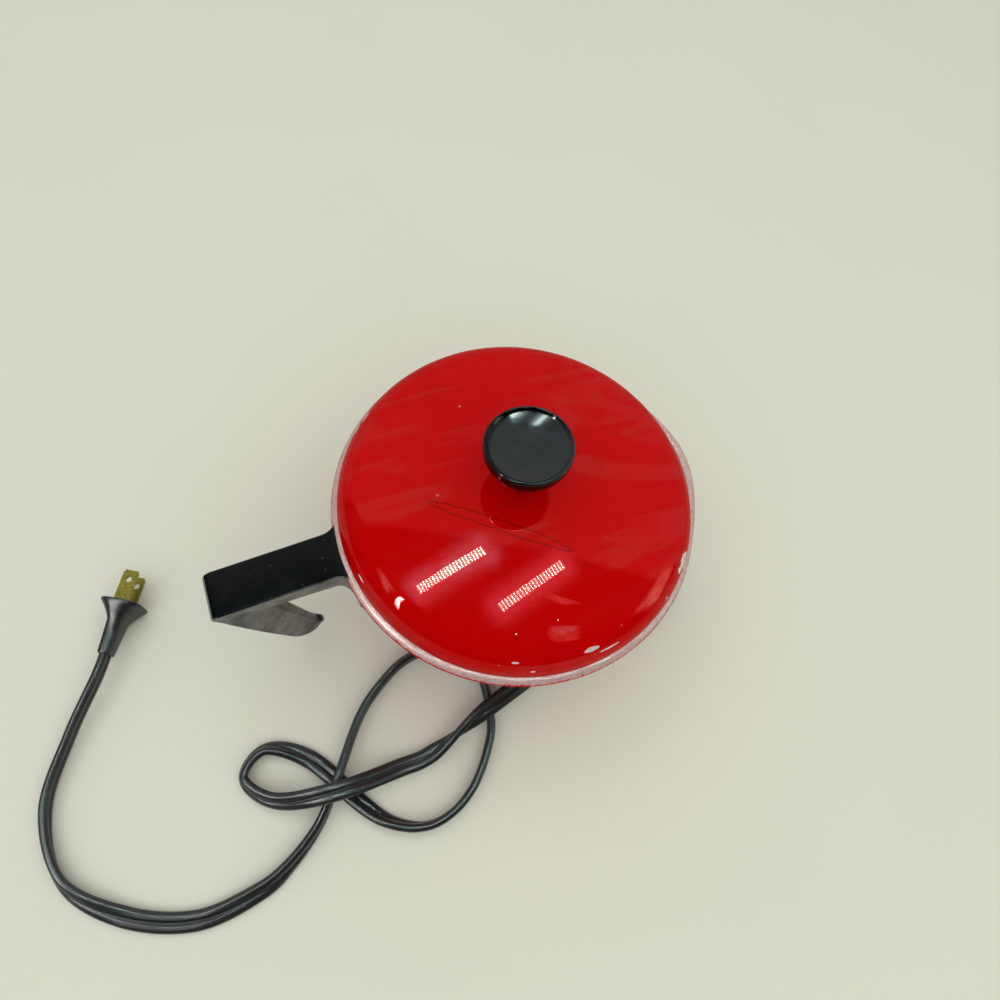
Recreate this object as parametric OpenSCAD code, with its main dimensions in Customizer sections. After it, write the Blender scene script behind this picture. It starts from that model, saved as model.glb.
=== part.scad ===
// Electric hot pot: a tapered one-litre aluminium vessel on a heated black base, with a loose
// domed lid, a seven-shaped side handle and a flat two-core cord that ends in a plug.
// Millimetres. The origin is on the vessel's axis, at the level that the base stands on.
// The handle points to -X, the pour lip and the cord outlet to +X, and +Z is up.

/* [Vessel] */
// Height of the vessel's flat bottom above the table
bottom_z = 22; // [21:0.5:30]
// Height of the sloping wall, from the bottom to the rolled rim
wall_h = 79; // [70:1:110]
// Outer radius of the wall at the bottom
wall_low_r = 51.6; // [50:0.2:56]
// Outer radius of the wall where the rolled rim starts
wall_top_r = 80.2; // [76:0.2:90]
// Thickness of the wall
wall_t = 1.6; // [1:0.1:2.4]
// Thickness of the floor
floor_t = 2; // [1.2:0.1:4]
// Radius of the inside corner between the floor and the wall
corner_r = 6; // [4:0.5:9]
// Radius of the rolled rim's bead
bead_r = 3; // [2.4:0.1:3.6]
// How far the pour lip stands out beyond the rim
lip_reach = 4.8; // [3:0.2:7]
// Radius of the pour lip's front, seen from above
lip_r = 60.4; // [50:0.5:68]
// Height over which the pour lip runs out into the wall
lip_h = 26; // [18:1:40]

/* [Lid] */
// Radius of the lid's outer edge
lid_r = 82.5; // [81.5:0.1:84]
// Thickness of the lid's sheet
lid_t = 1; // [0.7:0.1:1.2]
// Radius of curvature of the dome's shallow middle
lid_crown_r = 300; // [260:5:500]
// Radius of the rounded shoulder at the lid's edge
lid_shoulder_r = 14; // [8:0.5:16]
// Depth of the locating skirt under the lid's seat
lid_skirt_h = 4; // [2:0.5:8]
// Play between the lid's skirt and the mouth of the vessel
lid_play = 0.6; // [0.4:0.1:1.5]

/* [Knob] */
// Largest radius of the knob
knob_r = 19; // [14:0.2:24]
// Height of the knob above the crown of the lid
knob_h = 29.6; // [22:0.2:36]
// Radius of the knob's foot on the lid
knob_foot_r = 9.5; // [8:0.2:12]
// Radius of the knob's waist
knob_waist_r = 7; // [5:0.2:8]
// Depth of the dish in the knob's top
knob_dish = 2.4; // [1:0.1:4]
// Radius of the knob screw's shank
knob_screw_r = 2; // [1.5:0.1:3]

/* [Handle] */
// Width of the handle
handle_w = 22; // [17:0.5:26]
// Reach of the handle's arm beyond the rim
arm_len = 59; // [52:0.5:70]
// Thickness of the arm
arm_t = 12.6; // [11:0.2:16]
// Fall of the arm's top from the rim to its outer corner
arm_drop = 8; // [4:0.5:12]
// Depth of the whole handle, from the arm's top to the tip of the grip
handle_h = 91.2; // [84:0.2:98]
// Width of the finger gap under the arm, beyond the rim
finger_gap = 40.8; // [36:0.2:46]
// Radius of the handle's long edges
handle_edge_r = 1.4; // [1:0.1:3]
// Radius of the flare at the handle's root
flare_r = 8; // [5:0.5:10]
// Size of the grip's rounded tip
tip_r = 7; // [5:0.5:9]
// Thickness of the steel bracket inside the handle
bracket_t = 1.5; // [1:0.1:2.2]
// Width of the steel bracket
bracket_w = 13; // [10:0.5:15]
// Radius of the rivets that hold the bracket
rivet_r = 2; // [1.5:0.1:2.5]
// Radius of the handle screw's shank
handle_screw_r = 2; // [1.5:0.1:2.4]

/* [Base] */
// Outer radius of the base at the table
base_r = 46; // [44.5:0.2:48]
// Thickness of the base's skirt
skirt_t = 3; // [2:0.2:3.6]
// Width of the ring that the base stands on
foot_w = 3.4; // [2.4:0.2:4]
// Height of the collar that holds the vessel, above the vessel's bottom
collar_h = 4; // [2.5:0.5:8]
// Thickness of the seal between the vessel and the base
gasket_t = 1; // [0.6:0.1:2]
// Thickness of the steel cover under the base
cover_t = 1.2; // [0.8:0.1:1.6]
// Height of the cover's rim above the table
cover_z = 2.2; // [1.5:0.1:3]
// Height of the cord outlet above the table
outlet_z = 11.5; // [11:0.1:12]

/* [Heater] */
// Radius of the heating element's ring
element_r = 28; // [26:0.5:31]
// Radius of the heating element's sheath
sheath_r = 3.2; // [2.5:0.1:3.4]
// Thickness of the heat spreader
spreader_t = 1.2; // [0.8:0.1:1.5]
// Radius of the stud under the vessel
stud_r = 2.5; // [2:0.1:3]
// Radius of the thermostat
thermostat_r = 8; // [6.5:0.1:8.4]

/* [Cord] */
// Width of the flat cord
cord_w = 9.6; // [7:0.1:11]
// Thickness of the flat cord
cord_t = 4.2; // [3:0.1:5]
// Length of the tapered strain relief outside the base
boot_len = 24; // [20:0.5:30]
// Length of the plug's body
plug_len = 28; // [24:0.5:38]
// Width of the plug's front face
plug_w = 21.6; // [18:0.2:26]
// Height of the plug's front face across both blades
plug_h = 25; // [22:0.2:30]
// Length of the plug's blades
blade_len = 17.2; // [15:0.1:19]

/* [Hidden] */

red = [0.72, 0.03, 0.02];
silver = [0.76, 0.76, 0.77];
steel = [0.62, 0.63, 0.65];
black = [0.05, 0.055, 0.06];
rubber = [0.07, 0.07, 0.075];
ceramic = [0.88, 0.86, 0.8];
brass = [0.72, 0.58, 0.25];

// Clearance between pieces that seat in each other without a fit
fit_gap = 0.2;
// Clearance between a screw, stud or rivet and its hole
hole_gap = 0.05;
// Clearance between the lid and what it rests on, over its whole travel
lid_gap = 0.3;
// Small overshoot of a cutting tool past the face that it cuts
cut = 1;

// The sloping wall
rim_z = bottom_z + wall_h;
wall_slope = (wall_top_r - wall_low_r) / wall_h;
wall_tilt = atan(wall_slope);
wall_flat = wall_t / cos(wall_tilt);
bead_z = rim_z + bead_r;
function wall_at(z) = wall_low_r + (z - bottom_z) * wall_slope;
mouth_r = wall_at(bead_z) - wall_flat;
bead_c = mouth_r + bead_r;
rim_r = bead_c + bead_r;
rim_top_z = bead_z + bead_r;
// Width of the flat land that the mouth's tool leaves inside the bead
mouth_land = 0.15;

// The pour lip is a second, steeper cone whose axis stands off towards +X
lip_x = rim_r + lip_reach - lip_r;
lip_low_z = bead_z - lip_h;
lip_low_r = wall_at(lip_low_z) - lip_x;
lip_mouth_r = lip_r - 2 * bead_r;
lip_slope = (lip_mouth_r + wall_flat - lip_low_r) / lip_h;
lip_flat = wall_t * sqrt(1 + lip_slope * lip_slope);
function lip_at(z) = lip_low_r + (z - lip_low_z) * lip_slope;

// The lid
lid_seat_z = rim_top_z + lid_gap;
lid_corner_r = 1.2;
shoulder_x = lid_r - lid_shoulder_r;
shoulder_z = lid_seat_z + lid_corner_r;
crown_z = shoulder_z + lid_crown_r
          - sqrt(pow(lid_crown_r - lid_shoulder_r, 2) - pow(shoulder_x, 2));
shoulder_a = asin(shoulder_x / (lid_crown_r - lid_shoulder_r));
skirt_out_r = mouth_r - lid_play;
washer_t = 1;
knob_washer_r = 6;
knob_head_r = 4;
knob_head_h = 2.6;
knob_bore_h = 12;
// How far the dome's underside falls across the knob's washer
dome_sag = pow(knob_washer_r, 2) / (2 * lid_crown_r) + 0.05;

// The handle
arm_top_z = rim_top_z - 0.4;
half_w = handle_w / 2;
root_depth = 14;
root_drop = 2.2 * flare_r;
tongue_z = arm_top_z - 0.6 * arm_t;
tongue_len = 26;
screw_x = rim_r + 15;
handle_head_r = 3.6;
handle_head_h = 1.8;
screw_seat_z = tongue_z - bracket_t / 2 - 1.4 - washer_t;
plate_low = 20.5;
plate_high = 5.6;

// The base
housing_top_z = bottom_z + collar_h;
seat_z = bottom_z - gasket_t;
shelf_t = 2.6;
shelf_in_r = 40;
ledge_t = 1.6;
ledge_w = 2;
foot_chamfer = 0.8;
collar_t = 2.2;
collar_out_r = wall_at(housing_top_z) + fit_gap + collar_t;
foot_in_r = base_r - foot_chamfer - foot_w + 0.8;
cover_r = foot_in_r - fit_gap;
cover_top_z = cover_z + cover_t;
cover_lift = 2.4;
skirt_slope = (collar_out_r - base_r) / (housing_top_z - 1 - foot_chamfer);
function skirt_at(z) = base_r + (z - foot_chamfer) * skirt_slope;
neck_r = 5.1;
boot_flange_r = 6.8;
boot_tip_r = max(cord_w, cord_t) / 2 + 0.9;
boot_x = skirt_at(outlet_z) + 0.4;
boot_end_x = boot_x + boot_len;

// The heater under the vessel's bottom
spreader_z = bottom_z - spreader_t;
spreader_r = shelf_in_r - 1.5;
element_z = spreader_z - sheath_r;
element_gap_a = 20;
clamp_t = 1;
clamp_z = element_z - sheath_r - clamp_t;
clip_t = 0.8;
nut_h = 4;
nut_r = 4.6;
clip_z = clamp_z - clip_t;
thermostat_x = -(stud_r + thermostat_r + 4);
thermostat_h = spreader_z - clamp_z;
tab_h = 3.4;
fuse_r = 2;
fuse_len = 12;
fuse_x = 13;
wire_r = 1.1;
stud_flange_r = 5;
pin_r = 1.3;
pin_len = 5;

// Direction in which the plug points, anticlockwise from +X
plug_turn = 61;
// The cord's route: x, y, z of the centreline, and the turn of the flat cord about it.
// It leaves the base under the pour lip, turns back beside the base, loops twice on the
// table and ends in the plug. At 0 the broad face lies flat, and at 90 it stands on edge.
spot_before_plug = [-213.4 - 12 * cos(plug_turn), 16.7 - 12 * sin(plug_turn), 12.8, 90];
cord_route = [
    [boot_end_x, 0, outlet_z, -270], [boot_end_x + 6, 0, outlet_z, -270],
    [91, -3, 9.5, -270], [101, -12, 6.8, -270], [105, -27, 5.2, -270],
    [99, -43, 5.2, -262], [81, -53, 5.2, -250],
    [34, -58, 6.2, -205], [10, -62, 8, -188], [-30, -74, 13, -165],
    [-66, -86, 6.5, -20], [-85, -87.5, 7.5, 0], [-119, -88.5, 18, 0],
    [-148, -82, 8, 48], [-161, -66, 5, 76], [-147.5, -55.5, 4.9, 62],
    [-127, -68, 2.7, 12], [-107.5, -98, 3.7, 30], [-96, -111, 4.8, 62],
    [-81, -118.5, 4.9, 82], [-66, -117.5, 4.9, 90], [-51, -109, 4.9, 90],
    [-38, -94, 4.9, 90], [-30.5, -78, 4.9, 90], [-29.5, -50, 4.9, 90],
    [-50, -34.5, 5, 90], [-65.5, -34, 5, 90], [-82, -42.5, 5.1, 90],
    [-98, -56.5, 6.4, 90], [-119, -86.5, 10.3, 90], [-131.5, -101, 6.6, 84],
    [-148.5, -113, 4.9, 66], [-165, -119.5, 3.9, 34], [-195, -121.5, 2.4, 0],
    [-226, -108.5, 3, 10], [-250.5, -84, 4.8, 66], [-253.5, -49, 5.2, 90],
    [-237, -18, 8.6, 90],
    spot_before_plug, [-213.4, 16.7, 12.8, 90]];
cord_groove = 0.7;

// The plug lies on its narrow edge at the end of the route
plug_end = cord_route[len(cord_route) - 1];
flange_t = 1.2;
flange_back = 3.5;
waist_back = 9.5;
blade_gap = 12.7;
blade_t = 1.5;
blade_w = 7.9;
blade_narrow_w = 6.4;
blade_hole_r = 1.6;
blade_hole_at = 12;

// Points of an arc about c, from angle a0 to a1, in n steps
function arc(c, r, a0, a1, n) =
    [for (i = [0 : n]) c + r * [cos(a0 + (a1 - a0) * i / n), sin(a0 + (a1 - a0) * i / n)]];

// List without its first point, and without its last
function after(points) = [for (i = [1 : len(points) - 1]) points[i]];
function before(points) = [for (i = [0 : len(points) - 2]) points[i]];

// Half outline of a dish with a flat bottom at z0, a rounded corner and a sloping wall
function dish(r0, z0, rho, slope, z1) =
    let (a = 90 - atan(slope), c = [r0 - rho * tan(a / 2), z0 + rho])
    concat([[0, z0]], arc(c, rho, -90, a - 90, 6),
           [[r0 + (z1 - z0) * slope, z1], [0, z1]]);

// Faces of a skin over m rings of n points each, closed by a flat face at both ends
function skin_faces(m, n) =
    concat([[for (j = [0 : n - 1]) j]],
           [for (i = [0 : m - 2], j = [0 : n - 1])
               [i * n + j, (i + 1) * n + j, i * n + (j + 1) % n]],
           [for (i = [0 : m - 2], j = [0 : n - 1])
               [(i + 1) * n + j, (i + 1) * n + (j + 1) % n, i * n + (j + 1) % n]],
           [[for (j = [n - 1 : -1 : 0]) (m - 1) * n + j]]);

// Point at t between q1 and q2 on a smooth curve through four points
function smooth(q0, q1, q2, q3, t) =
    0.5 * (2 * q1 + (q2 - q0) * t + (2 * q0 - 5 * q1 + 4 * q2 - q3) * t * t
           + (3 * q1 - 3 * q2 + q3 - q0) * t * t * t);

// Route with steps points for each of its stretches
function refined(q, steps) =
    let (n = len(q))
    concat([for (i = [0 : n - 2], k = [0 : steps - 1])
               smooth(q[max(i - 1, 0)], q[i], q[i + 1], q[min(i + 2, n - 1)], k / steps)],
           [q[n - 1]]);

function spot(q) = [q[0], q[1], q[2]];
function unit(v) = v / norm(v);

// Section of the flat two-core cord: two round edges and a groove along each broad face
function cord_section(w, t, groove) =
    let (edge = [for (a = [-72 : 36 : 72]) [(w - t) / 2 + t / 2 * cos(a), t / 2 * sin(a)]])
    concat(edge, [[0, t / 2 - groove]], [for (p = edge) -p], [[0, groove - t / 2]]);

// Rings of a section that is swept along a route and turned about it
function swept_rings(q, section) =
    let (n = len(q))
    [for (i = [0 : n - 1])
        let (way = unit(spot(q[min(i + 1, n - 1)]) - spot(q[max(i - 1, 0)])),
             level = unit(cross(way, [0, 0, 1])),
             rise = cross(level, way),
             roll = q[i][3],
             broad = level * cos(roll) + rise * sin(roll),
             thin = rise * cos(roll) - level * sin(roll))
        for (p = section) spot(q[i]) + broad * p[0] + thin * p[1]];

module swept(q, section) {
    polyhedron(points = swept_rings(q, section), faces = skin_faces(len(q), len(section)));
}

module turned(points, sides = 96) {
    rotate_extrude($fn = sides) polygon(points);
}

// Puts a piece on the vessel's wall under the handle: local -X points out of the wall
module on_wall(z) {
    translate([-wall_at(z), 0, z]) rotate([0, -wall_tilt, 0]) children();
}

module vessel_outside(gap, top) {
    turned(dish(wall_low_r + gap, bottom_z - gap, corner_r + wall_t, wall_slope, top));
}

module bead_ring(gap) {
    rotate_extrude($fn = 96) translate([bead_c, bead_z]) circle(r = bead_r + gap, $fn = 32);
}

module lip_cone(inset, low, high) {
    translate([lip_x, 0, 0]) rotate_extrude($fn = 96)
        polygon([[0, low], [lip_at(low) - inset, low], [lip_at(high) - inset, high], [0, high]]);
}

// Tapered vessel with its rolled rim and its pour lip
module pot_shell() {
    color(red) difference() {
        union() {
            vessel_outside(0, bead_z);
            bead_ring(0);
            lip_cone(0, lip_low_z - lip_h / 2, bead_z);
            translate([lip_x, 0, 0]) rotate_extrude($fn = 96)
                translate([lip_r - bead_r, bead_z]) circle(r = bead_r, $fn = 32);
        }
        turned(dish(wall_at(bottom_z + floor_t) - wall_flat, bottom_z + floor_t, corner_r,
                    wall_slope, bead_z));
        translate([0, 0, bead_z - cut]) cylinder(r = mouth_r + mouth_land, h = bead_r + 2 * cut,
                                                 $fn = 96);
        lip_cone(lip_flat, lip_low_z - lip_h / 2, bead_z);
        translate([lip_x, 0, bead_z - cut]) cylinder(r = lip_mouth_r + mouth_land,
                                                     h = bead_r + 2 * cut, $fn = 96);
        rivet_places() translate([-cut - wall_t, 0, 0]) rotate([0, 90, 0])
            cylinder(r = rivet_r + hole_gap, h = 2 * (cut + wall_t) + wall_t, $fn = 32);
    }
}

// Domed sheet lid: crown, shoulder, flat seat on the rim and a locating skirt
module lid_shell() {
    crown_c = [0, crown_z - lid_crown_r];
    shoulder_c = [shoulder_x, shoulder_z];
    outside = concat([[0, crown_z]],
        after(arc(crown_c, lid_crown_r, 90, 90 - shoulder_a, 8)),
        after(arc(shoulder_c, lid_shoulder_r, 90 - shoulder_a, 0, 8)),
        after(arc([lid_r - lid_corner_r, shoulder_z], lid_corner_r, 0, -90, 4)),
        [[skirt_out_r, lid_seat_z], [skirt_out_r, lid_seat_z - lid_skirt_h],
         [skirt_out_r - lid_t, lid_seat_z - lid_skirt_h]]);
    inside = concat([[skirt_out_r - lid_t, lid_seat_z + lid_t],
                     [lid_r - lid_t - lid_corner_r / 4, lid_seat_z + lid_t]],
        arc(shoulder_c, lid_shoulder_r - lid_t, 4, 90 - shoulder_a, 8),
        before(after(arc(crown_c, lid_crown_r - lid_t, 90 - shoulder_a, 90, 8))),
        [[0, crown_z - lid_t]]);
    color(red) difference() {
        turned(concat(outside, inside));
        translate([0, 0, crown_z - lid_t - cut])
            cylinder(r = knob_screw_r + fit_gap, h = lid_t + 2 * cut, $fn = 32);
    }
}

// Moulded knob: foot, waist, flared flank and a dished top with a thin raised ring
module knob() {
    ring_r = knob_r - 1.3;
    ring_w = 1;
    top_z = crown_z + knob_h;
    belly_z = top_z - 3.2;
    outline = concat([[0, crown_z], [knob_foot_r - 0.5, crown_z], [knob_foot_r, crown_z + 0.5],
                      [knob_foot_r - 0.3, crown_z + 2]],
        arc([knob_waist_r + 8, crown_z + 8.5], 8, 215, 145, 6),
        [[knob_r - 6, belly_z - 7], [knob_r - 2.2, belly_z - 3.2], [knob_r - 0.5, belly_z - 1],
         [knob_r, belly_z + 0.4], [knob_r - 0.3, belly_z + 1.8], [ring_r, top_z - 0.2],
         [ring_r - 0.3, top_z], [ring_r - ring_w, top_z], [ring_r - ring_w - 0.5, top_z - 0.7]],
        [for (i = [1 : 5]) let (f = 1 - i / 5)
            [(ring_r - ring_w - 0.5) * f, top_z - 0.7 - (knob_dish - 0.7) * (1 - f * f)]]);
    color(black) difference() {
        turned(outline, 72);
        translate([0, 0, crown_z - cut])
            cylinder(r = knob_screw_r + hole_gap, h = knob_bore_h + cut, $fn = 32);
    }
}

// Screw that comes up through the lid into the knob
module knob_screw() {
    head_z = crown_z - lid_t - washer_t - dome_sag;
    color(steel) difference() {
        union() {
            translate([0, 0, head_z]) cylinder(r = knob_screw_r, h = knob_bore_h - washer_t - 1,
                                               $fn = 32);
            translate([0, 0, head_z - knob_head_h])
                cylinder(r1 = knob_head_r - 0.8, r2 = knob_head_r, h = knob_head_h, $fn = 32);
        }
        translate([-knob_head_r - cut, -0.5, head_z - knob_head_h - cut])
            cube([2 * (knob_head_r + cut), 1, 1.2 + cut]);
    }
}

module knob_washer() {
    color(steel) translate([0, 0, crown_z - lid_t - washer_t - dome_sag]) difference() {
        cylinder(r = knob_washer_r, h = washer_t, $fn = 48);
        translate([0, 0, -cut]) cylinder(r = knob_screw_r + fit_gap, h = washer_t + 2 * cut,
                                         $fn = 32);
    }
}

// The handle is a skin over cross sections. A section runs from a point on the inner edge to a
// point on the outer edge: x out from the rim, and depth down from the arm's top at the root.
// Half its width at the outer and at the inner edge follow.
function grip_out(d) = arm_len + 0.2 - 0.322 * (d - arm_drop) - 0.00067 * pow(d - arm_drop, 2);
function grip_in(d) = finger_gap - 0.305 * (d - arm_t - 2);
function arm_top(x) = arm_drop * x / arm_len;
function flare(u) = u >= flare_r ? 0 : flare_r - sqrt(pow(flare_r, 2) - pow(flare_r - max(u, 0), 2));

tip_out_d = handle_h - 2 * tip_r;
tip_in_d = handle_h - 0.85 * tip_r;

root_rows = [for (u = [-root_depth + 4, 0, 1, 2.5, 4.5, 6.5, flare_r])
    let (x = u - 4, top = arm_top(max(x, 0)))
    [[x, top], [x - (u < 0 ? -3 : 0), top + arm_t + flare(u) * 2.2],
     half_w + flare(u), half_w + flare(u)]];
arm_rows = [for (f = [0.25, 0.5, 0.75, 0.92])
    let (x_out = 4 + (arm_len - 8) * f, x_in = 4 + (finger_gap - 5) * f)
    [[x_out, arm_top(x_out)], [x_in, arm_t + 0.6 + f * 1.2], half_w, half_w]];
corner_rows = [for (a = [75, 45, 15])
    [[arm_len - 4 + 4 * cos(a), arm_drop + 3.4 - 4 * sin(a)],
     [finger_gap - 0.4 + 0.5 * cos(a), arm_t + 2.6 - sin(a)],
     half_w, half_w * (0.46 + 0.38 * sin(a))]];
grip_rows = [for (f = [0.06, 0.2, 0.38, 0.56, 0.72, 0.88, 1])
    let (d_out = arm_drop + 4 + f * (tip_out_d - arm_drop - 4),
         d_in = arm_t + 3 + f * (tip_in_d - arm_t - 3))
    [[grip_out(d_out), d_out], [grip_in(d_in), d_in],
     half_w * (1 - 0.2 * pow(f, 1.5)), half_w * (0.44 - 0.22 * f)]];
// The tip's sections: outer and inner point as shares of tip_r, and shares of half_w
tip_shape = [[-0.1, 1.57, -0.09, 0.71, 0.755, 0.22], [-0.47, 0.86, -0.38, 0.46, 0.69, 0.22],
             [-0.99, 0.29, -0.52, 0.23, 0.57, 0.21], [-1.56, 0, -0.4, 0.03, 0.4, 0.19]];
tip_rows = [for (t = tip_shape)
    [[grip_out(tip_out_d) + t[0] * tip_r, handle_h - t[1] * tip_r],
     [grip_in(tip_in_d) + t[2] * tip_r, handle_h - t[3] * tip_r],
     half_w * t[4], half_w * t[5]]];
handle_rows = concat(root_rows, arm_rows, corner_rows, grip_rows, tip_rows);
handle_sides = 16;

// One rounded cross section of the handle
function handle_ring(row) =
    let (o = [-rim_r - row[0][0], arm_top_z - row[0][1]],
         i = [-rim_r - row[1][0], arm_top_z - row[1][1]],
         mid = (o + i) / 2, half = norm(o - i) / 2, way = unit(o - i))
    [for (k = [0 : handle_sides - 1])
        let (q = floor(k / 4), a = 90 * q + 30 * (k % 4),
             sy = (q == 0 || q == 3) ? 1 : -1, sv = q < 2 ? 1 : -1,
             w = q < 2 ? row[2] : row[3],
             e = min(handle_edge_r * (w < half_w ? 1.4 : 1), half * 0.6, w * 0.75),
             y = sy * (w - e) + e * cos(a), v = sv * (half - e) + e * sin(a))
        [mid[0] + v * way[0], y, mid[1] + v * way[1]]];

// Moulded handle: flared root on the wall, arm, sharp turn and a grip that leans back in
module handle() {
    color(black) difference() {
        polyhedron(points = [for (row = handle_rows) for (p = handle_ring(row)) p],
                   faces = skin_faces(len(handle_rows), handle_sides));
        vessel_outside(fit_gap, rim_top_z + cut);
        bead_ring(fit_gap);
        bracket_pocket();
        translate([-screw_x, 0, screw_seat_z - arm_t])
            cylinder(r = handle_head_r + fit_gap, h = arm_t + washer_t, $fn = 32);
        translate([-screw_x, 0, screw_seat_z])
            cylinder(r = handle_screw_r + fit_gap, h = arm_top_z - 4 - screw_seat_z, $fn = 32);
    }
}

// Hollow in the handle's root for the bracket's plate, the rivet heads and the tongue
module bracket_pocket() {
    depth = bracket_t + 2.2;
    on_wall(arm_top_z - plate_high)
        translate([-depth, -bracket_w / 2 - fit_gap, -plate_low - fit_gap])
            cube([depth + cut, bracket_w + 2 * fit_gap, plate_low + 2 * fit_gap]);
    translate([-rim_r - tongue_len + 6 - fit_gap, -bracket_w / 2 - fit_gap,
               tongue_z - bracket_t / 2 - fit_gap])
        cube([tongue_len, bracket_w + 2 * fit_gap, bracket_t + 2 * fit_gap]);
}

// Pressed bracket: a plate riveted to the wall, with a tongue that reaches into the arm
module handle_bracket() {
    color(steel) difference() {
        union() {
            difference() {
                on_wall(arm_top_z - plate_high) translate([-bracket_t, -bracket_w / 2, -plate_low])
                    cube([bracket_t + cut, bracket_w, plate_low]);
                vessel_outside(0, rim_top_z + cut);
            }
            difference() {
                translate([-rim_r - tongue_len + 6, -bracket_w / 2, tongue_z - bracket_t / 2])
                    cube([tongue_len, bracket_w, bracket_t]);
                vessel_outside(0, rim_top_z + cut);
            }
        }
        translate([-screw_x, 0, tongue_z - bracket_t])
            cylinder(r = handle_screw_r + hole_gap, h = 2 * bracket_t, $fn = 32);
        rivet_places() translate([-cut - bracket_t, 0, 0]) rotate([0, 90, 0])
            cylinder(r = rivet_r + hole_gap, h = 2 * cut + bracket_t + wall_t, $fn = 32);
    }
}

// Places of the two rivets: local origin on the wall's outside, local -X out of the wall
module rivet_places() {
    for (drop = [11.5, 20.5]) on_wall(arm_top_z - drop) children();
}

module bracket_rivets() {
    head_h = 1.2;
    inner_seat = wall_t + 0.12;
    color(silver) rivet_places() {
        translate([-bracket_t - head_h, 0, 0]) rotate([0, 90, 0])
            cylinder(r = rivet_r, h = bracket_t + inner_seat + head_h + cut, $fn = 32);
        translate([-bracket_t - head_h, 0, 0]) rotate([0, 90, 0])
            cylinder(r1 = rivet_r + 0.6, r2 = rivet_r + 1.4, h = head_h, $fn = 32);
        translate([inner_seat, 0, 0]) rotate([0, 90, 0])
            cylinder(r1 = rivet_r + 1.4, r2 = rivet_r + 0.6, h = head_h, $fn = 32);
    }
}

// Screw that comes up through the arm's underside into the bracket's tongue
module handle_screw() {
    color(steel) difference() {
        translate([-screw_x, 0, screw_seat_z]) union() {
            cylinder(r = handle_screw_r, h = arm_top_z - 4.4 - screw_seat_z, $fn = 32);
            translate([0, 0, -handle_head_h])
                cylinder(r1 = handle_head_r - 1, r2 = handle_head_r - 0.4, h = handle_head_h,
                         $fn = 32);
        }
        translate([-screw_x - handle_head_r - cut, -0.4, screw_seat_z - handle_head_h - cut])
            cube([2 * (handle_head_r + cut), 0.8, 1.1 + cut]);
    }
}

module handle_washer() {
    color(steel) translate([-screw_x, 0, screw_seat_z]) difference() {
        cylinder(r = handle_head_r, h = washer_t, $fn = 32);
        translate([0, 0, -cut]) cylinder(r = handle_screw_r + hole_gap, h = washer_t + 2 * cut,
                                         $fn = 32);
    }
}

// Moulded base: standing ring, sloping skirt, shelf for the seal and collar for the vessel
module base_housing() {
    under_shelf = seat_z - shelf_t;
    ledge_z = cover_top_z;
    color(black) difference() {
        turned([[foot_in_r, 0], [base_r - foot_chamfer, 0], [base_r, foot_chamfer],
                [collar_out_r, housing_top_z - 1], [collar_out_r - 0.8, housing_top_z],
                [shelf_in_r, housing_top_z], [shelf_in_r, under_shelf],
                [skirt_at(under_shelf) - skirt_t - 1, under_shelf],
                [skirt_at(under_shelf - 1) - skirt_t, under_shelf - 1],
                [skirt_at(ledge_z + ledge_t) - skirt_t, ledge_z + ledge_t],
                [foot_in_r - ledge_w, ledge_z + ledge_t], [foot_in_r - ledge_w, ledge_z],
                [foot_in_r, ledge_z]]);
        vessel_outside(fit_gap, housing_top_z + cut);
        turned([[0, seat_z], [wall_low_r - corner_r, seat_z], [wall_low_r - corner_r, bottom_z],
                [0, bottom_z]]);
        translate([0, 0, outlet_z]) rotate([0, 90, 0])
            cylinder(r = neck_r + hole_gap, h = collar_out_r + cut, $fn = 48);
    }
}

// Flat seal ring between the shelf and the vessel's bottom
module base_seal() {
    color(rubber) translate([0, 0, seat_z]) difference() {
        cylinder(r = wall_low_r - corner_r - 1, h = gasket_t, $fn = 96);
        translate([0, 0, -cut]) cylinder(r = shelf_in_r, h = gasket_t + 2 * cut, $fn = 96);
    }
}

// Pressed steel cover, raised in the middle to make room for its nut
module bottom_cover() {
    middle_r = 16;
    rise_r = 22;
    color(steel) difference() {
        turned([[0, cover_z + cover_lift], [middle_r, cover_z + cover_lift], [rise_r, cover_z],
                [cover_r, cover_z], [cover_r, cover_top_z], [rise_r + 0.4, cover_top_z],
                [middle_r + 0.4, cover_top_z + cover_lift], [0, cover_top_z + cover_lift]]);
        cylinder(r = stud_r + fit_gap, h = cover_top_z + cover_lift + cut, $fn = 32);
        for (i = [0 : 5]) rotate([0, 0, 60 * i + 30])
            translate([(cover_r + rise_r) / 2, 0, 0]) cylinder(r = 2, h = cover_top_z + cut, $fn = 24);
    }
}

module nut(z, h) {
    color(steel) translate([0, 0, z]) difference() {
        cylinder(r = nut_r, h = h, $fn = 6);
        translate([0, 0, -cut]) cylinder(r = stud_r + hole_gap, h = h + 2 * cut, $fn = 32);
    }
}

module cover_nut() {
    nut(cover_z + cover_lift - nut_h + 0.8, nut_h - 0.8);
}

module clamp_nut() {
    nut(clip_z - nut_h, nut_h);
}

// Stud that is welded to the vessel's bottom and holds the heater and the cover
module centre_stud() {
    color(steel) union() {
        translate([0, 0, bottom_z - spreader_t]) cylinder(r = stud_flange_r, h = spreader_t, $fn = 48);
        translate([0, 0, 1]) cylinder(r = stud_r, h = bottom_z - 1 - spreader_t / 2, $fn = 32);
    }
}

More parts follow.
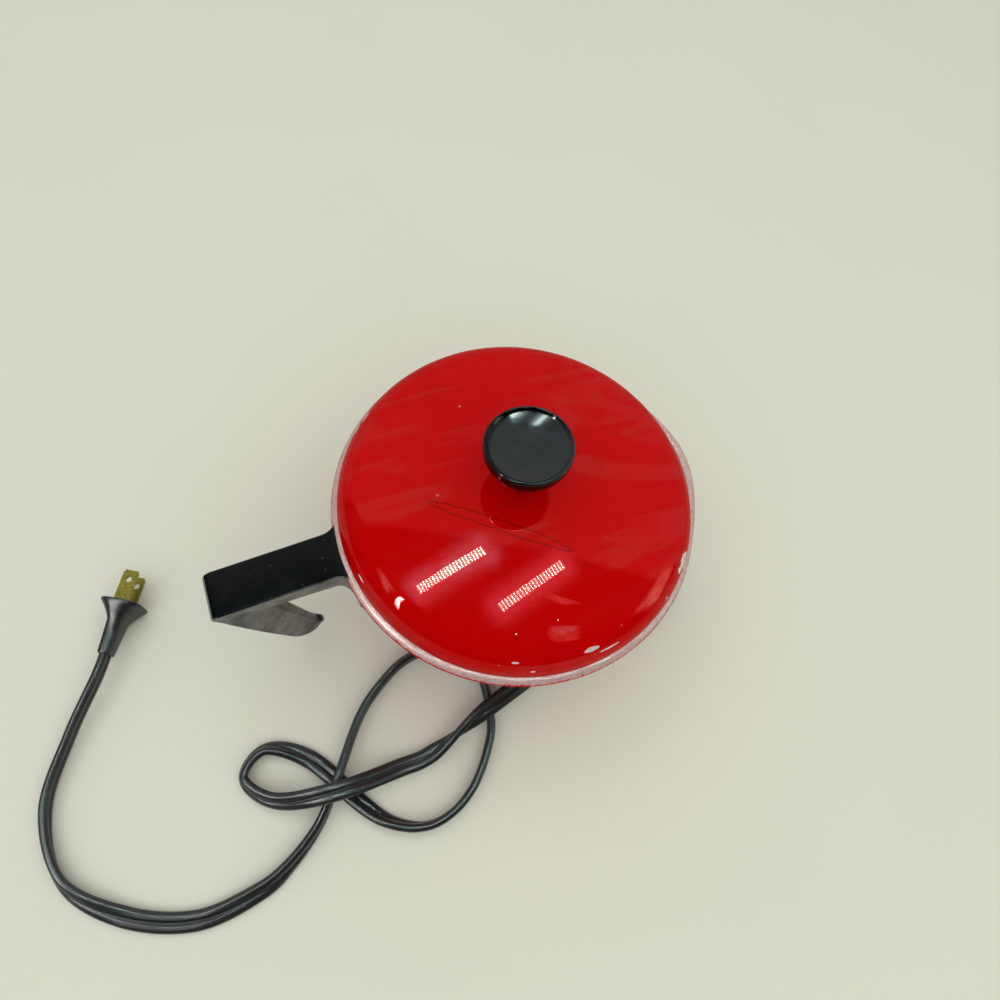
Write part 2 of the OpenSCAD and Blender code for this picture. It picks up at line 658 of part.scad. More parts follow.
// Four-armed spring plate that presses the element against the spreader
module element_clamp() {
    ring_w = 5;
    arm_w = 6;
    opening_a = 30;
    color(steel) translate([0, 0, clamp_z]) difference() {
        union() {
            rotate([0, 0, opening_a]) rotate_extrude(angle = 360 - 2 * opening_a, $fn = 96)
                translate([element_r - ring_w / 2, 0]) square([ring_w, clamp_t]);
            cylinder(r = stud_flange_r, h = clamp_t, $fn = 48);
            for (a = [55, 125, 235, 305]) rotate([0, 0, a])
                translate([0, -arm_w / 2, 0]) cube([element_r - ring_w / 2 + 1, arm_w, clamp_t]);
        }
        translate([0, 0, -cut]) cylinder(r = stud_r + hole_gap, h = clamp_t + 2 * cut, $fn = 32);
    }
}

module heat_spreader() {
    color(silver) translate([0, 0, spreader_z]) difference() {
        cylinder(r = spreader_r, h = spreader_t, $fn = 96);
        translate([0, 0, -cut]) cylinder(r = stud_flange_r + fit_gap, h = spreader_t + 2 * cut,
                                         $fn = 48);
    }
}

// Sheathed heating rod bent into an open ring, with a cold pin at each end
module heating_element() {
    color(steel) translate([0, 0, element_z]) {
        rotate([0, 0, element_gap_a]) rotate_extrude(angle = 360 - 2 * element_gap_a, $fn = 96)
            translate([element_r, 0]) circle(r = sheath_r, $fn = 32);
        for (side = [-1, 1]) rotate([0, 0, side * element_gap_a]) translate([element_r, 0, 0])
            rotate([90 * side, 0, 0]) translate([0, 0, -sheath_r])
                cylinder(r = pin_r, h = sheath_r + pin_len, $fn = 24);
    }
}

// Ceramic bushes that close the ends of the sheath round the cold pins
module element_bushes() {
    bush_h = 2;
    color(ceramic) translate([0, 0, element_z]) for (side = [-1, 1])
        rotate([0, 0, side * element_gap_a]) translate([element_r, 0, 0])
            rotate([90 * side, 0, 0]) difference() {
                cylinder(r = sheath_r - 0.4, h = bush_h, $fn = 32);
                translate([0, 0, -cut]) cylinder(r = pin_r + hole_gap, h = bush_h + 2 * cut,
                                                 $fn = 24);
            }
}

// Disc thermostat pressed against the spreader, with two tabs
module thermostat() {
    color(ceramic) translate([thermostat_x, 0, 0]) union() {
        translate([0, 0, clamp_z]) cylinder(r = thermostat_r, h = thermostat_h, $fn = 48);
        for (side = [-1, 1]) translate([-3, side * (thermostat_r - 2.4) - 0.4, clamp_z - tab_h])
            cube([6, 0.8, tab_h + cut]);
    }
}

// Spring strip under the thermostat, held by the clamp's nut
module thermostat_clip() {
    color(steel) translate([0, 0, clip_z]) difference() {
        union() {
            cylinder(r = stud_flange_r, h = clip_t, $fn = 48);
            translate([thermostat_x - thermostat_r + 2, -4, 0])
                cube([-thermostat_x + thermostat_r - 2, 8, clip_t]);
        }
        translate([0, 0, -cut]) cylinder(r = stud_r + hole_gap, h = clip_t + 2 * cut, $fn = 32);
    }
}

// One-shot thermal fuse lying against the spreader
module thermal_fuse() {
    color(silver) translate([fuse_x, -fuse_len / 2, spreader_z - fuse_r]) rotate([-90, 0, 0])
        union() {
            cylinder(r = fuse_r, h = fuse_len, $fn = 32);
            translate([0, 0, -2]) cylinder(r = 0.5, h = fuse_len + 4, $fn = 16);
        }
}

inlet_x = shelf_in_r - 0.5;
pin_tip = [element_r * cos(element_gap_a) + (pin_len + 0.2) * sin(element_gap_a),
           element_r * sin(element_gap_a) - (pin_len + 0.2) * cos(element_gap_a)];
fuse_z = spreader_z - fuse_r;
tab_y = thermostat_r - 2.4;
tab_z = clamp_z - tab_h;
terminal_x = thermostat_x - 1;
terminal_z = tab_z - 1.2;
sleeve_x = pin_tip[0] + 0.6;
sleeve_y = pin_tip[1] + 1.2;
sleeve_z = element_z - 3.2;

function lead(x, y, z) = [x * element_r, y * element_r, z, 0];

module wire(route) {
    swept(refined(route, 3), [for (k = [0 : 7]) wire_r * [cos(45 * k), sin(45 * k)]]);
}

// The leads' waypoints are fractions of the ring's radius, so that they move with the heater
module live_wire() {
    color(black) wire([[inlet_x - 0.1, 2.4, outlet_z, 0], [inlet_x - 3, 2.4, outlet_z, 0],
                       lead(1.21, 0.21, outlet_z - 1), lead(0.93, 0.5, outlet_z - 1.5),
                       lead(0.61, 0.54, outlet_z + 1.5), [fuse_x, 0.43 * element_r, fuse_z - 1, 0],
                       [fuse_x, fuse_len / 2 + 2.3, fuse_z, 0]]);
}

module fuse_wire() {
    color(red) wire([[fuse_x, -fuse_len / 2 - 2.3, fuse_z, 0], lead(0.51, -0.41, element_z - 0.4),
                     lead(0.59, -0.48, clamp_z + 0.6), lead(0.46, -0.55, clip_z - nut_h / 2),
                     lead(0.14, -0.57, clip_z - nut_h), lead(-0.29, -0.41, terminal_z - 1.4),
                     [terminal_x + 2, -tab_y - 1.4, terminal_z - 1.6, 0],
                     [terminal_x, -tab_y, terminal_z - 1.2, 0]]);
}

module switched_wire() {
    color(red) wire([[terminal_x, tab_y, terminal_z - 1.2, 0],
                     [terminal_x + 2, tab_y + 1.4, terminal_z - 1.6, 0],
                     lead(-0.29, 0.43, terminal_z - 1.4), lead(0, 0.61, clip_z - nut_h),
                     lead(0.39, 0.71, clip_z - nut_h - 0.2), lead(0.86, 0.46, clip_z - nut_h - 0.6),
                     [sleeve_x, 0.29 * element_r, sleeve_z - 5, 0],
                     [sleeve_x, sleeve_y, sleeve_z - 2.4, 0],
                     [sleeve_x, sleeve_y, sleeve_z - 0.1, 0]]);
}

module neutral_wire() {
    color(black) wire([[inlet_x - 0.1, -2.4, outlet_z, 0], [inlet_x - 3, -2.6, outlet_z - 0.3, 0],
                       lead(1.16, -0.17, outlet_z - 1.2),
                       [sleeve_x + 0.8, -sleeve_y, sleeve_z - 3.2, 0],
                       [sleeve_x, -sleeve_y, sleeve_z - 1.6, 0],
                       [sleeve_x, -sleeve_y, sleeve_z - 0.1, 0]]);
}

// Crimped sleeves that join the wires to the pins and the tabs
module crimp_terminals() {
    color(brass) {
        for (side = [-1, 1]) translate([sleeve_x, side * sleeve_y, sleeve_z])
            cylinder(r = 1.5, h = element_z - pin_r - 0.1 - sleeve_z, $fn = 24);
        for (side = [-1, 1]) translate([terminal_x, side * tab_y, terminal_z])
            cylinder(r = 1.6, h = tab_z - terminal_z, $fn = 24);
    }
}

// Tapered, ribbed boot that grips the cord in the wall of the base
module strain_relief() {
    ribs = 5;
    pitch = (boot_len - 6) / ribs;
    groove = 0.7;
    grow = function (x) boot_flange_r + (boot_tip_r - boot_flange_r) * x / boot_len;
    outline = concat([[0, -6], [boot_flange_r, -6], [boot_flange_r, 3]],
        [for (i = [0 : ribs - 1]) let (x = 3 + pitch * i)
            each [[grow(x), x], [grow(x + pitch * 0.6), x + pitch * 0.6],
                  [grow(x) - groove, x + pitch * 0.65], [grow(x) - groove, x + pitch * 0.95]]],
        [[grow(boot_len - 3), boot_len - 3], [boot_tip_r, boot_len - 0.6],
         [boot_tip_r - 0.6, boot_len], [0, boot_len]]);
    inner_x = skirt_at(outlet_z - neck_r - 1) - skirt_t - fit_gap;
    color(rubber) union() {
        difference() {
            translate([boot_x, 0, outlet_z]) rotate([0, 90, 0]) turned(outline, 48);
            turned([[0, -cut], [skirt_at(-cut) + hole_gap, -cut],
                    [skirt_at(2 * bottom_z) + hole_gap, 2 * bottom_z], [0, 2 * bottom_z]]);
        }
        translate([inlet_x, 0, outlet_z]) rotate([0, 90, 0])
            cylinder(r = neck_r, h = boot_x - inlet_x + 1, $fn = 48);
        translate([inlet_x, 0, outlet_z]) rotate([0, 90, 0])
            cylinder(r = neck_r + 1, h = inner_x - inlet_x, $fn = 48);
    }
}

module cord() {
    color(rubber) swept(refined(cord_route, 2),
                        cord_section(cord_w, cord_t, cord_groove));
}

module at_plug() {
    translate(spot(plug_end)) rotate([0, 0, plug_turn]) children();
}

// Rounded block of the plug's section: size across x, y and z, round edges of radius r
module plug_slab(x, long, wide, high, r) {
    for (y = [-1, 1], z = [-1, 1])
        translate([x, y * (wide / 2 - r), z * (high / 2 - r)]) rotate([0, 90, 0])
            cylinder(r = r, h = long, $fn = 20);
}

// Moulded plug: a slim body that grows out of the cord into a wide front flange
module plug_body() {
    color(rubber) at_plug() union() {
        hull() {
            plug_slab(0, 1, cord_t + 2.4, cord_w + 1.6, 1.8);
            plug_slab(plug_len - waist_back - 1, 1, cord_t + 4.2, 0.62 * plug_h, 3);
        }
        hull() {
            plug_slab(plug_len - waist_back - 1, 1, cord_t + 4.2, 0.62 * plug_h, 3);
            plug_slab(plug_len - flange_back, 0.4, 0.78 * plug_w, 0.9 * plug_h, 4.5);
        }
        hull() {
            plug_slab(plug_len - flange_back, 0.4, 0.78 * plug_w, 0.9 * plug_h, 4.5);
            plug_slab(plug_len - flange_t, flange_t, plug_w, plug_h, 5);
        }
    }
}

// Two flat blades of the plug, the upper one wider, each with its locking hole
module plug_blades() {
    color(brass) at_plug() for (side = [-1, 1]) {
        wide = side > 0 ? blade_w : blade_narrow_w;
        translate([plug_len, -wide / 2, side * blade_gap / 2 - blade_t / 2]) difference() {
            union() {
                cube([blade_len - 1, wide, blade_t]);
                translate([blade_len - 1 - cut, 0.7, 0]) cube([cut + 1, wide - 1.4, blade_t]);
            }
            translate([blade_hole_at, wide / 2, -cut])
                cylinder(r = blade_hole_r, h = blade_t + 2 * cut, $fn = 24);
        }
    }
}

pot_shell();
lid_shell();
knob();
knob_screw();
knob_washer();
handle();
handle_bracket();
bracket_rivets();
handle_screw();
handle_washer();
base_housing();
base_seal();
bottom_cover();
cover_nut();
centre_stud();
clamp_nut();
element_clamp();
heat_spreader();
heating_element();
element_bushes();
thermostat();
thermostat_clip();
thermal_fuse();
live_wire();
fuse_wire();
switched_wire();
neutral_wire();
crimp_terminals();
strain_relief();
cord();
plug_body();
plug_blades();
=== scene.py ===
"""Electric hot pot: finishes, finer pieces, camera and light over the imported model."""

import logging
import math
from dataclasses import dataclass
from enum import Enum
from typing import Dict, List, Optional, Sequence, Tuple, Union

import bpy
from mathutils import Matrix, Vector


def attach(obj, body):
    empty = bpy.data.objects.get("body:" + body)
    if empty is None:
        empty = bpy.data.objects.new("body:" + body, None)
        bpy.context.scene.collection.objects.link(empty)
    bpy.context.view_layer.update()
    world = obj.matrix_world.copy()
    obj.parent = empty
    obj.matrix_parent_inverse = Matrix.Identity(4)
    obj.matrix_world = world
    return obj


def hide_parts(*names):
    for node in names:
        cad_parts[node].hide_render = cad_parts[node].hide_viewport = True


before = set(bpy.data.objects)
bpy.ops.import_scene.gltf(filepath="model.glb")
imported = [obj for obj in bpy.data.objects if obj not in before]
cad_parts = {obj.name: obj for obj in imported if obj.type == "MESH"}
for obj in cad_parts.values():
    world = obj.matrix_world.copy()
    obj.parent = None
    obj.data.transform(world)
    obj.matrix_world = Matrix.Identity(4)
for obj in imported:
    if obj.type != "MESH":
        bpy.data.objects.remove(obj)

LOG = logging.getLogger("hot_pot")
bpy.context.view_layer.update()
MM = 0.001

Point2 = Tuple[float, float]
Point3 = Tuple[float, float, float]
Colour = Tuple[float, float, float]
Station = Tuple[float, float, float, float]
Value = Union[float, "Signal"]


class Place(Enum):
    """Where a pattern is read from."""

    OBJECT = "Object"
    NORMAL = "Normal"
    UV = "UV"
    SKY = "Generated"


class Body(Enum):
    """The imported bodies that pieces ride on."""

    POT = "pot"
    LID = "lid"


# ---------------------------------------------------------------- node graphs


class Signal:
    """One value in a node tree. Arithmetic on it adds Math nodes."""

    def __init__(self, graph: "Graph", socket: bpy.types.NodeSocket) -> None:
        """Takes the output that gives the value, and its graph."""
        self.graph, self.socket = graph, socket

    def __add__(self, other: Value) -> "Signal":
        """The sum of two values."""
        return self.graph.math("ADD", self, other)

    def __sub__(self, other: Value) -> "Signal":
        """The difference of two values."""
        return self.graph.math("SUBTRACT", self, other)

    def __mul__(self, other: Value) -> "Signal":
        """The product of two values."""
        return self.graph.math("MULTIPLY", self, other)

    def __truediv__(self, other: Value) -> "Signal":
        """The quotient of two values."""
        return self.graph.math("DIVIDE", self, other)

    def __pow__(self, power: float) -> "Signal":
        """The value to a power."""
        return self.graph.math("POWER", self, power)

    def __abs__(self) -> "Signal":
        """The value without its sign."""
        return self.graph.math("ABSOLUTE", self)

    def most(self, other: Value) -> "Signal":
        """The larger of two values."""
        return self.graph.math("MAXIMUM", self, other)

    def under(self, limit: Value) -> "Signal":
        """1 where the value is less than a limit, and 0 elsewhere."""
        return self.graph.math("LESS_THAN", self, limit)

    def ramp(self, low: float, high: float, out_low: float = 0.0,
             out_high: float = 1.0) -> "Signal":
        """Maps the range from low to high smoothly on to another."""
        return self.graph.take("ShaderNodeMapRange", "Result", {
            "Value": self, "From Min": low, "From Max": high,
            "To Min": out_low, "To Max": out_high}, interpolation_type="SMOOTHSTEP")


class Graph:
    """A shader or group tree with short calls for adding and joining nodes."""

    def __init__(self, tree: bpy.types.NodeTree) -> None:
        """Takes a material's, world's or group's node tree."""
        self.tree = tree

    def add(self, kind: str, inputs: Optional[Dict[object, object]] = None,
            **props: object) -> bpy.types.Node:
        """Adds a node, sets its properties and feeds its inputs.

        Args:
            kind: The node's type name, such as ShaderNodeMath.
            inputs: Socket name or index to a value or a signal.
            **props: Node properties to set first.

        Returns:
            The new node.
        """
        node = self.tree.nodes.new(kind)
        for key, value in props.items():
            setattr(node, key, value)
        for key, value in (inputs or {}).items():
            self.feed(node.inputs[key], value)
        return node

    def take(self, kind: str, output: Union[int, str],
             inputs: Optional[Dict[object, object]] = None, **props: object) -> Signal:
        """Adds a node as add does, and gives one of its outputs."""
        return Signal(self, self.add(kind, inputs, **props).outputs[output])

    def feed(self, socket: bpy.types.NodeSocket, value: object) -> None:
        """Links a signal to an input, or sets the input's own value.

        Args:
            socket: The input socket.
            value: A signal, an output socket or a plain value.
        """
        if isinstance(value, Signal):
            value = value.socket
        if isinstance(value, bpy.types.NodeSocket):
            self.tree.links.new(value, socket)
        elif isinstance(value, tuple) and len(value) == 3 and socket.type == "RGBA":
            socket.default_value = (*value, 1.0)
        else:
            socket.default_value = value

    def math(self, operation: str, *values: Value, clamp: bool = False) -> Signal:
        """Adds a Math node, whose result can be kept from 0 to 1."""
        return self.take("ShaderNodeMath", 0, dict(enumerate(values)), operation=operation,
                         use_clamp=clamp)

    def vector(self, operation: str, *values: object, output: str = "Vector") -> Signal:
        """Adds a Vector Math node, whose output is Value where the result is a number."""
        return self.take("ShaderNodeVectorMath", output, dict(enumerate(values)),
                         operation=operation)

    def parts(self, vector: Signal) -> Tuple[Signal, ...]:
        """Splits a vector into its x, y and z."""
        node = self.add("ShaderNodeSeparateXYZ", {0: vector})
        return tuple(Signal(self, output) for output in node.outputs)

    def noise(self, vector: Signal, scale: Value, detail: float = 3.0,
              rough: float = 0.5) -> Signal:
        """Adds noise: its scale is in cycles a metre, its detail in octaves."""
        return self.take("ShaderNodeTexNoise", "Fac", {
            "Vector": vector, "Scale": scale, "Detail": detail, "Roughness": rough})

    def mix(self, factor: Value, first: object, second: object) -> Signal:
        """Mixes two colours: 0 gives the first, 1 the second."""
        return self.take("ShaderNodeMix", 2, {"Factor": factor, 6: first, 7: second},
                         data_type="RGBA")

    def place(self, source: Place = Place.OBJECT) -> Signal:
        """Adds the coordinates that patterns are read from."""
        return self.take("ShaderNodeTexCoord", source.value)

    def use(self, group: bpy.types.NodeTree, **values: object) -> Dict[str, Signal]:
        """Places a shared node group, and gives its outputs by name."""
        node = self.add("ShaderNodeGroup", values, node_tree=group)
        return {output.name: Signal(self, output) for output in node.outputs}


class SharedEffects:
    """The node groups that more than one finish uses, each built once."""

    def __init__(self) -> None:
        """Builds the groups."""
        self.grain = self._grain()
        self.specks = self._specks()
        self.chip_or_highlight = self._chip()
        self.smears = self._smears()

    @staticmethod
    def _start(name: str, inputs: Dict[str, Optional[float]],
               *outputs: str) -> Tuple[Graph, List[Signal], bpy.types.Node]:
        """Makes an empty group.

        Args:
            name: The group's name.
            inputs: Each input's default, or None for a vector.
            *outputs: The names of its float outputs.

        Returns:
            Its graph, its inputs and its output node.
        """
        tree = bpy.data.node_groups.new(name, "ShaderNodeTree")
        for label, value in inputs.items():
            kind = "NodeSocketVector" if value is None else "NodeSocketFloat"
            socket = tree.interface.new_socket(name=label, in_out="INPUT", socket_type=kind)
            if value is not None:
                socket.default_value = value
        for label in outputs:
            tree.interface.new_socket(name=label, in_out="OUTPUT", socket_type="NodeSocketFloat")
        graph = Graph(tree)
        given = graph.add("NodeGroupInput")
        return (graph, [Signal(graph, given.outputs[label]) for label in inputs],
                graph.add("NodeGroupOutput"))

    def _grain(self) -> bpy.types.NodeTree:
        """Fine moulded or sprayed grain.

        Returns:
            A group that puts out a height from 0 to 1 and a roughness.
        """
        graph, (spot, scale, base, spread), out = self._start(
            "surface_grain", {"Vector": None, "Scale": 900.0, "Base": 0.4, "Spread": 0.1},
            "Height", "Roughness")
        fine = graph.noise(spot, scale, 4.0, 0.6)
        swing = (fine * 0.4 + graph.noise(spot, 38.0) * 0.6 - 0.5) * spread
        graph.feed(out.inputs["Height"], fine)
        graph.feed(out.inputs["Roughness"], graph.math("ADD", base, swing * 2.0, clamp=True))
        return graph.tree

    def _specks(self) -> bpy.types.NodeTree:
        """Sparse specks of dust or pitting.

        Returns:
            A group that puts out a mask.
        """
        graph, (spot, scale, share), out = self._start(
            "dust_specks", {"Vector": None, "Scale": 700.0, "Share": 0.1}, "Mask")
        cells = graph.add("ShaderNodeTexVoronoi", {"Vector": spot, "Scale": scale})
        pick = graph.add("ShaderNodeSeparateColor", {"Color": cells.outputs["Color"]})
        red, green = (Signal(graph, pick.outputs[name]) for name in ("Red", "Green"))
        near = Signal(graph, cells.outputs["Distance"]).under(green * 0.34)
        graph.feed(out.inputs["Mask"], near * red.under(share))
        return graph.tree

    def _chip(self) -> bpy.types.NodeTree:
        """A ragged chip in a coat of enamel; the same mask also draws the painted highlights.

        Returns:
            A group that puts out a mask round a centre.
        """
        graph, (spot, centre, along, length, width), out = self._start(
            "enamel_chip_or_painted_highlight", {"Vector": None, "Centre": None, "Along": None,
                            "Length": 0.006, "Width": 0.0015}, "Mask")
        offset = graph.vector("SUBTRACT", spot, centre)
        run = graph.vector("DOT_PRODUCT", offset, along, output="Value")
        total = graph.vector("LENGTH", offset, output="Value")
        across = graph.math("SQRT", (total * total - run * run).most(0.0))
        far = (abs(run) / length) ** 2.0 + (across / width) ** 2.0
        ragged = (graph.noise(spot, 620.0, 4.0, 0.7) - 0.5) * 2.6
        graph.feed(out.inputs["Mask"], (far + ragged).ramp(1.12, 0.92))
        return graph.tree

    def _smears(self) -> bpy.types.NodeTree:
        """Wiped streaks that dull a gloss a little.

        Returns:
            A group that puts out an amount.
        """
        graph, (spot, scale), out = self._start(
            "wiped_smears", {"Vector": None, "Scale": 20.0}, "Amount")
        turned = graph.take("ShaderNodeMapping", 0, {
            "Vector": spot, "Rotation": (0.0, 0.0, 0.5), "Scale": (1.0, 5.0, 1.0)})
        streak = graph.take("ShaderNodeTexNoise", "Fac", {
            "Vector": turned, "Scale": scale, "Detail": 5.0, "Roughness": 0.62,
            "Distortion": 0.6})
        graph.feed(out.inputs["Amount"], streak.ramp(0.48, 0.8))
        return graph.tree


class Surface:
    """A material being built: its graph, its Principled shader and its coordinates."""

    def __init__(self, name: str, effects: SharedEffects) -> None:
        """Makes the material.

        Args:
            name: Its name.
            effects: The shared node groups.
        """
        self.material = bpy.data.materials.new(name)
        self.material.use_nodes = True
        self.effects = effects
        self.graph = Graph(self.material.node_tree)
        self.shader = next(n for n in self.graph.tree.nodes if n.type == "BSDF_PRINCIPLED")
        self.spot = self.graph.place()

    def set(self, **inputs: object) -> None:
        """Feeds the shader's inputs, named with _ for a space."""
        for name, value in inputs.items():
            self.graph.feed(self.shader.inputs[name.replace("_", " ")], value)

    def noise(self, scale: float, detail: float = 3.0, rough: float = 0.5) -> Signal:
        """Adds noise as Graph.noise does, in the object's space."""
        return self.graph.noise(self.spot, scale, detail, rough)

    def specks(self, scale: float, share: float) -> Signal:
        """Masks sparse specks, in a share of so many cells a metre."""
        return self.graph.use(self.effects.specks, Vector=self.spot, Scale=scale,
                              Share=share)["Mask"]

    def grain(self, scale: float, base: float, spread: float) -> Tuple[Signal, Signal]:
        """Adds fine grain, and gives its height and the roughness that swings about base."""
        outputs = self.graph.use(self.effects.grain, Vector=self.spot, Scale=scale, Base=base,
                                 Spread=spread)
        return outputs["Height"], outputs["Roughness"]

    def turned(self) -> Tuple[Signal, Signal]:
        """Reads the distance from the pot's axis, and the height."""
        x, y, z = self.graph.parts(self.spot)
        return self.graph.math("SQRT", x ** 2.0 + y ** 2.0), z

    def facing(self) -> Signal:
        """Reads how far the surface looks up, from -1 to 1."""
        return self.graph.parts(self.graph.place(Place.NORMAL))[2]

    def bump(self, height: Signal, strength: float, distance: float) -> None:
        """Feeds a height to the shader as a bump, with its depth in metres."""
        self.set(Normal=self.graph.take("ShaderNodeBump", "Normal", {
            "Strength": strength, "Distance": distance, "Height": height}))


# ------------------------------------------------------------------- finishes


@dataclass(frozen=True)
class Finish:
    """What every finish has: a name and the shared effects."""

    name: str
    effects: SharedEffects

    def make(self) -> bpy.types.Material:
        """Builds the material.

        Returns:
            The finished material.
        """
        surface = Surface(self.name, self.effects)
        self.paint(surface)
        return surface.material

    def paint(self, on: Surface) -> None:
        """Lays the finish on a surface. Each kind has its own."""
        raise NotImplementedError


@dataclass(frozen=True)
class Moulded(Finish):
    """Moulded plastic, phenolic or rubber with grain and dust."""

    colour: Colour
    dust: Colour
    roughness: float
    spread: float
    grain_scale: float = 1100.0
    dust_share: float = 0.05
    dust_scale: float = 900.0

    def paint(self, on: Surface) -> None:
        """Lays the grained colour and its dust.

        Args:
            on: The material's surface.
        """
        height, roughness = on.grain(self.grain_scale, self.roughness, self.spread)
        drift = on.noise(30.0, 4.0).ramp(0.35, 0.75, 0.0, 0.35)
        tone = on.graph.mix(drift, self.colour, tuple(c * 1.7 + 0.004 for c in self.colour))
        dusty = on.specks(self.dust_scale, self.dust_share) * 0.6
        on.set(Base_Color=on.graph.mix(dusty, tone, self.dust), Roughness=roughness)
        on.bump(height, 0.35, 0.00002)


@dataclass(frozen=True)
class KnobPhenolic(Finish):
    """Polished phenolic, hazed and dusty in the dish on top."""

    black: Colour = (0.0013, 0.0014, 0.0016)
    haze: Colour = (0.022, 0.027, 0.028)
    dust: Colour = (0.16, 0.17, 0.17)
    dish_r: float = 17.9
    dish_z: float = 155.4

    def paint(self, on: Surface) -> None:
        """Lays the black, and the haze in the dish.

        Args:
            on: The material's surface.
        """
        radius, z = on.turned()
        dish = (radius.ramp(self.dish_r * MM, (self.dish_r - 1.4) * MM)
                * z.ramp((self.dish_z - 0.5) * MM, self.dish_z * MM))
        cloud = on.noise(90.0, 4.0, 0.6).ramp(0.3, 0.75, 0.75, 1.0)
        haze = on.graph.mix(on.specks(900.0, 0.03) * 0.25, self.haze, self.dust)
        height, roughness = on.grain(1200.0, 0.07, 0.05)
        on.set(Base_Color=on.graph.mix(dish * cloud, self.black, haze), IOR=1.3,
               Roughness=roughness + dish * 0.05)
        on.bump(height, 0.15, 0.00001)


@dataclass(frozen=True)
class HandlePhenolic(Finish):
    """Moulded phenolic: glossy black on top, with the pale table's reflection painted paler into
    its flanks.
    """

    black: Colour = (0.0012, 0.0024, 0.0028)
    worn_black: Colour = (0.009, 0.011, 0.0105)
    dust: Colour = (0.14, 0.17, 0.17)
    # Pale grey painted on the flanks: a painted reflection of the pale table.
    painted_table_reflection: Colour = (0.25, 0.25, 0.232)

    def paint(self, on: Surface) -> None:
        """Lays the black on top, and the painted reflection of the pale table on the flanks.

        Args:
            on: The material's surface.
        """
        # The flanks, picked out by the normal, get the painted reflection of the pale table,
        # broken up by noise.
        flank = on.facing().ramp(0.85, 0.5)
        reflection_breakup = on.noise(75.0, 5.0, 0.62).ramp(0.28, 0.7, 0.35, 1.0)
        fine = on.noise(700.0, 3.0, 0.6).ramp(0.35, 0.7, 0.75, 1.0)
        drift = on.noise(28.0, 4.0).ramp(0.42, 0.75)
        top = on.graph.mix(drift * 0.8, self.black, self.worn_black)
        top = on.graph.mix(on.specks(900.0, 0.05) * 0.3, top, self.dust)
        height, roughness = on.grain(1000.0, 0.16, 0.1)
        on.set(Base_Color=on.graph.mix(flank * (reflection_breakup * fine), top, self.painted_table_reflection), IOR=1.22,
               Roughness=roughness + flank * 0.14)
        on.bump(height, 0.3, 0.00002)


@dataclass(frozen=True)
class Metal(Finish):
    """Plated, drawn or spun metal with fine scratches and pitting."""

    colour: Colour
    stain: Colour
    roughness: float
    spread: float = 0.14
    pitting: float = 0.08
    spun: bool = False

    def paint(self, on: Surface) -> None:
        """Lays the metal, its stains, pits and turning marks.

        Args:
            on: The material's surface.
        """
        height, roughness = on.grain(700.0, self.roughness, self.spread)
        drift = on.noise(55.0, 5.0, 0.65).ramp(0.4, 0.8, 0.0, 0.5)
        tone = on.graph.mix(drift, self.colour, self.stain)
        pit = tuple(c * 0.35 for c in self.colour)
        on.set(Base_Color=on.graph.mix(on.specks(600.0, self.pitting) * 0.5, tone, pit),
               Roughness=roughness, Metallic=1.0)
        if self.spun:
            radius, z = on.turned()
            spot = on.graph.take("ShaderNodeCombineXYZ", 0, {"X": radius, "Z": z})
            height = on.graph.noise(spot, 1500.0, 2.0)
        on.bump(height, 0.3, 0.00002)


@dataclass(frozen=True)
class ChipOrPaintedHighlight:
    """One chip in the lid's enamel, or a highlight painted as one: angle round the lid, half
    sizes and place.
    """

    angle: float
    length: float
    width: float
    radius: float
    height: float

    def mask(self, on: Surface) -> Signal:
        """Masks the chip, or the painted highlight drawn as one.

        Args:
            on: The material's surface.

        Returns:
            The mask.
        """
        turn = math.radians(self.angle)
        centre = (self.radius * MM * math.cos(turn), self.radius * MM * math.sin(turn),
                  self.height * MM)
        return on.graph.use(on.effects.chip_or_highlight, Vector=on.spot, Centre=centre,
                            Along=(-math.sin(turn), math.cos(turn), 0.0),
                            Length=self.length * MM, Width=self.width * MM)["Mask"]


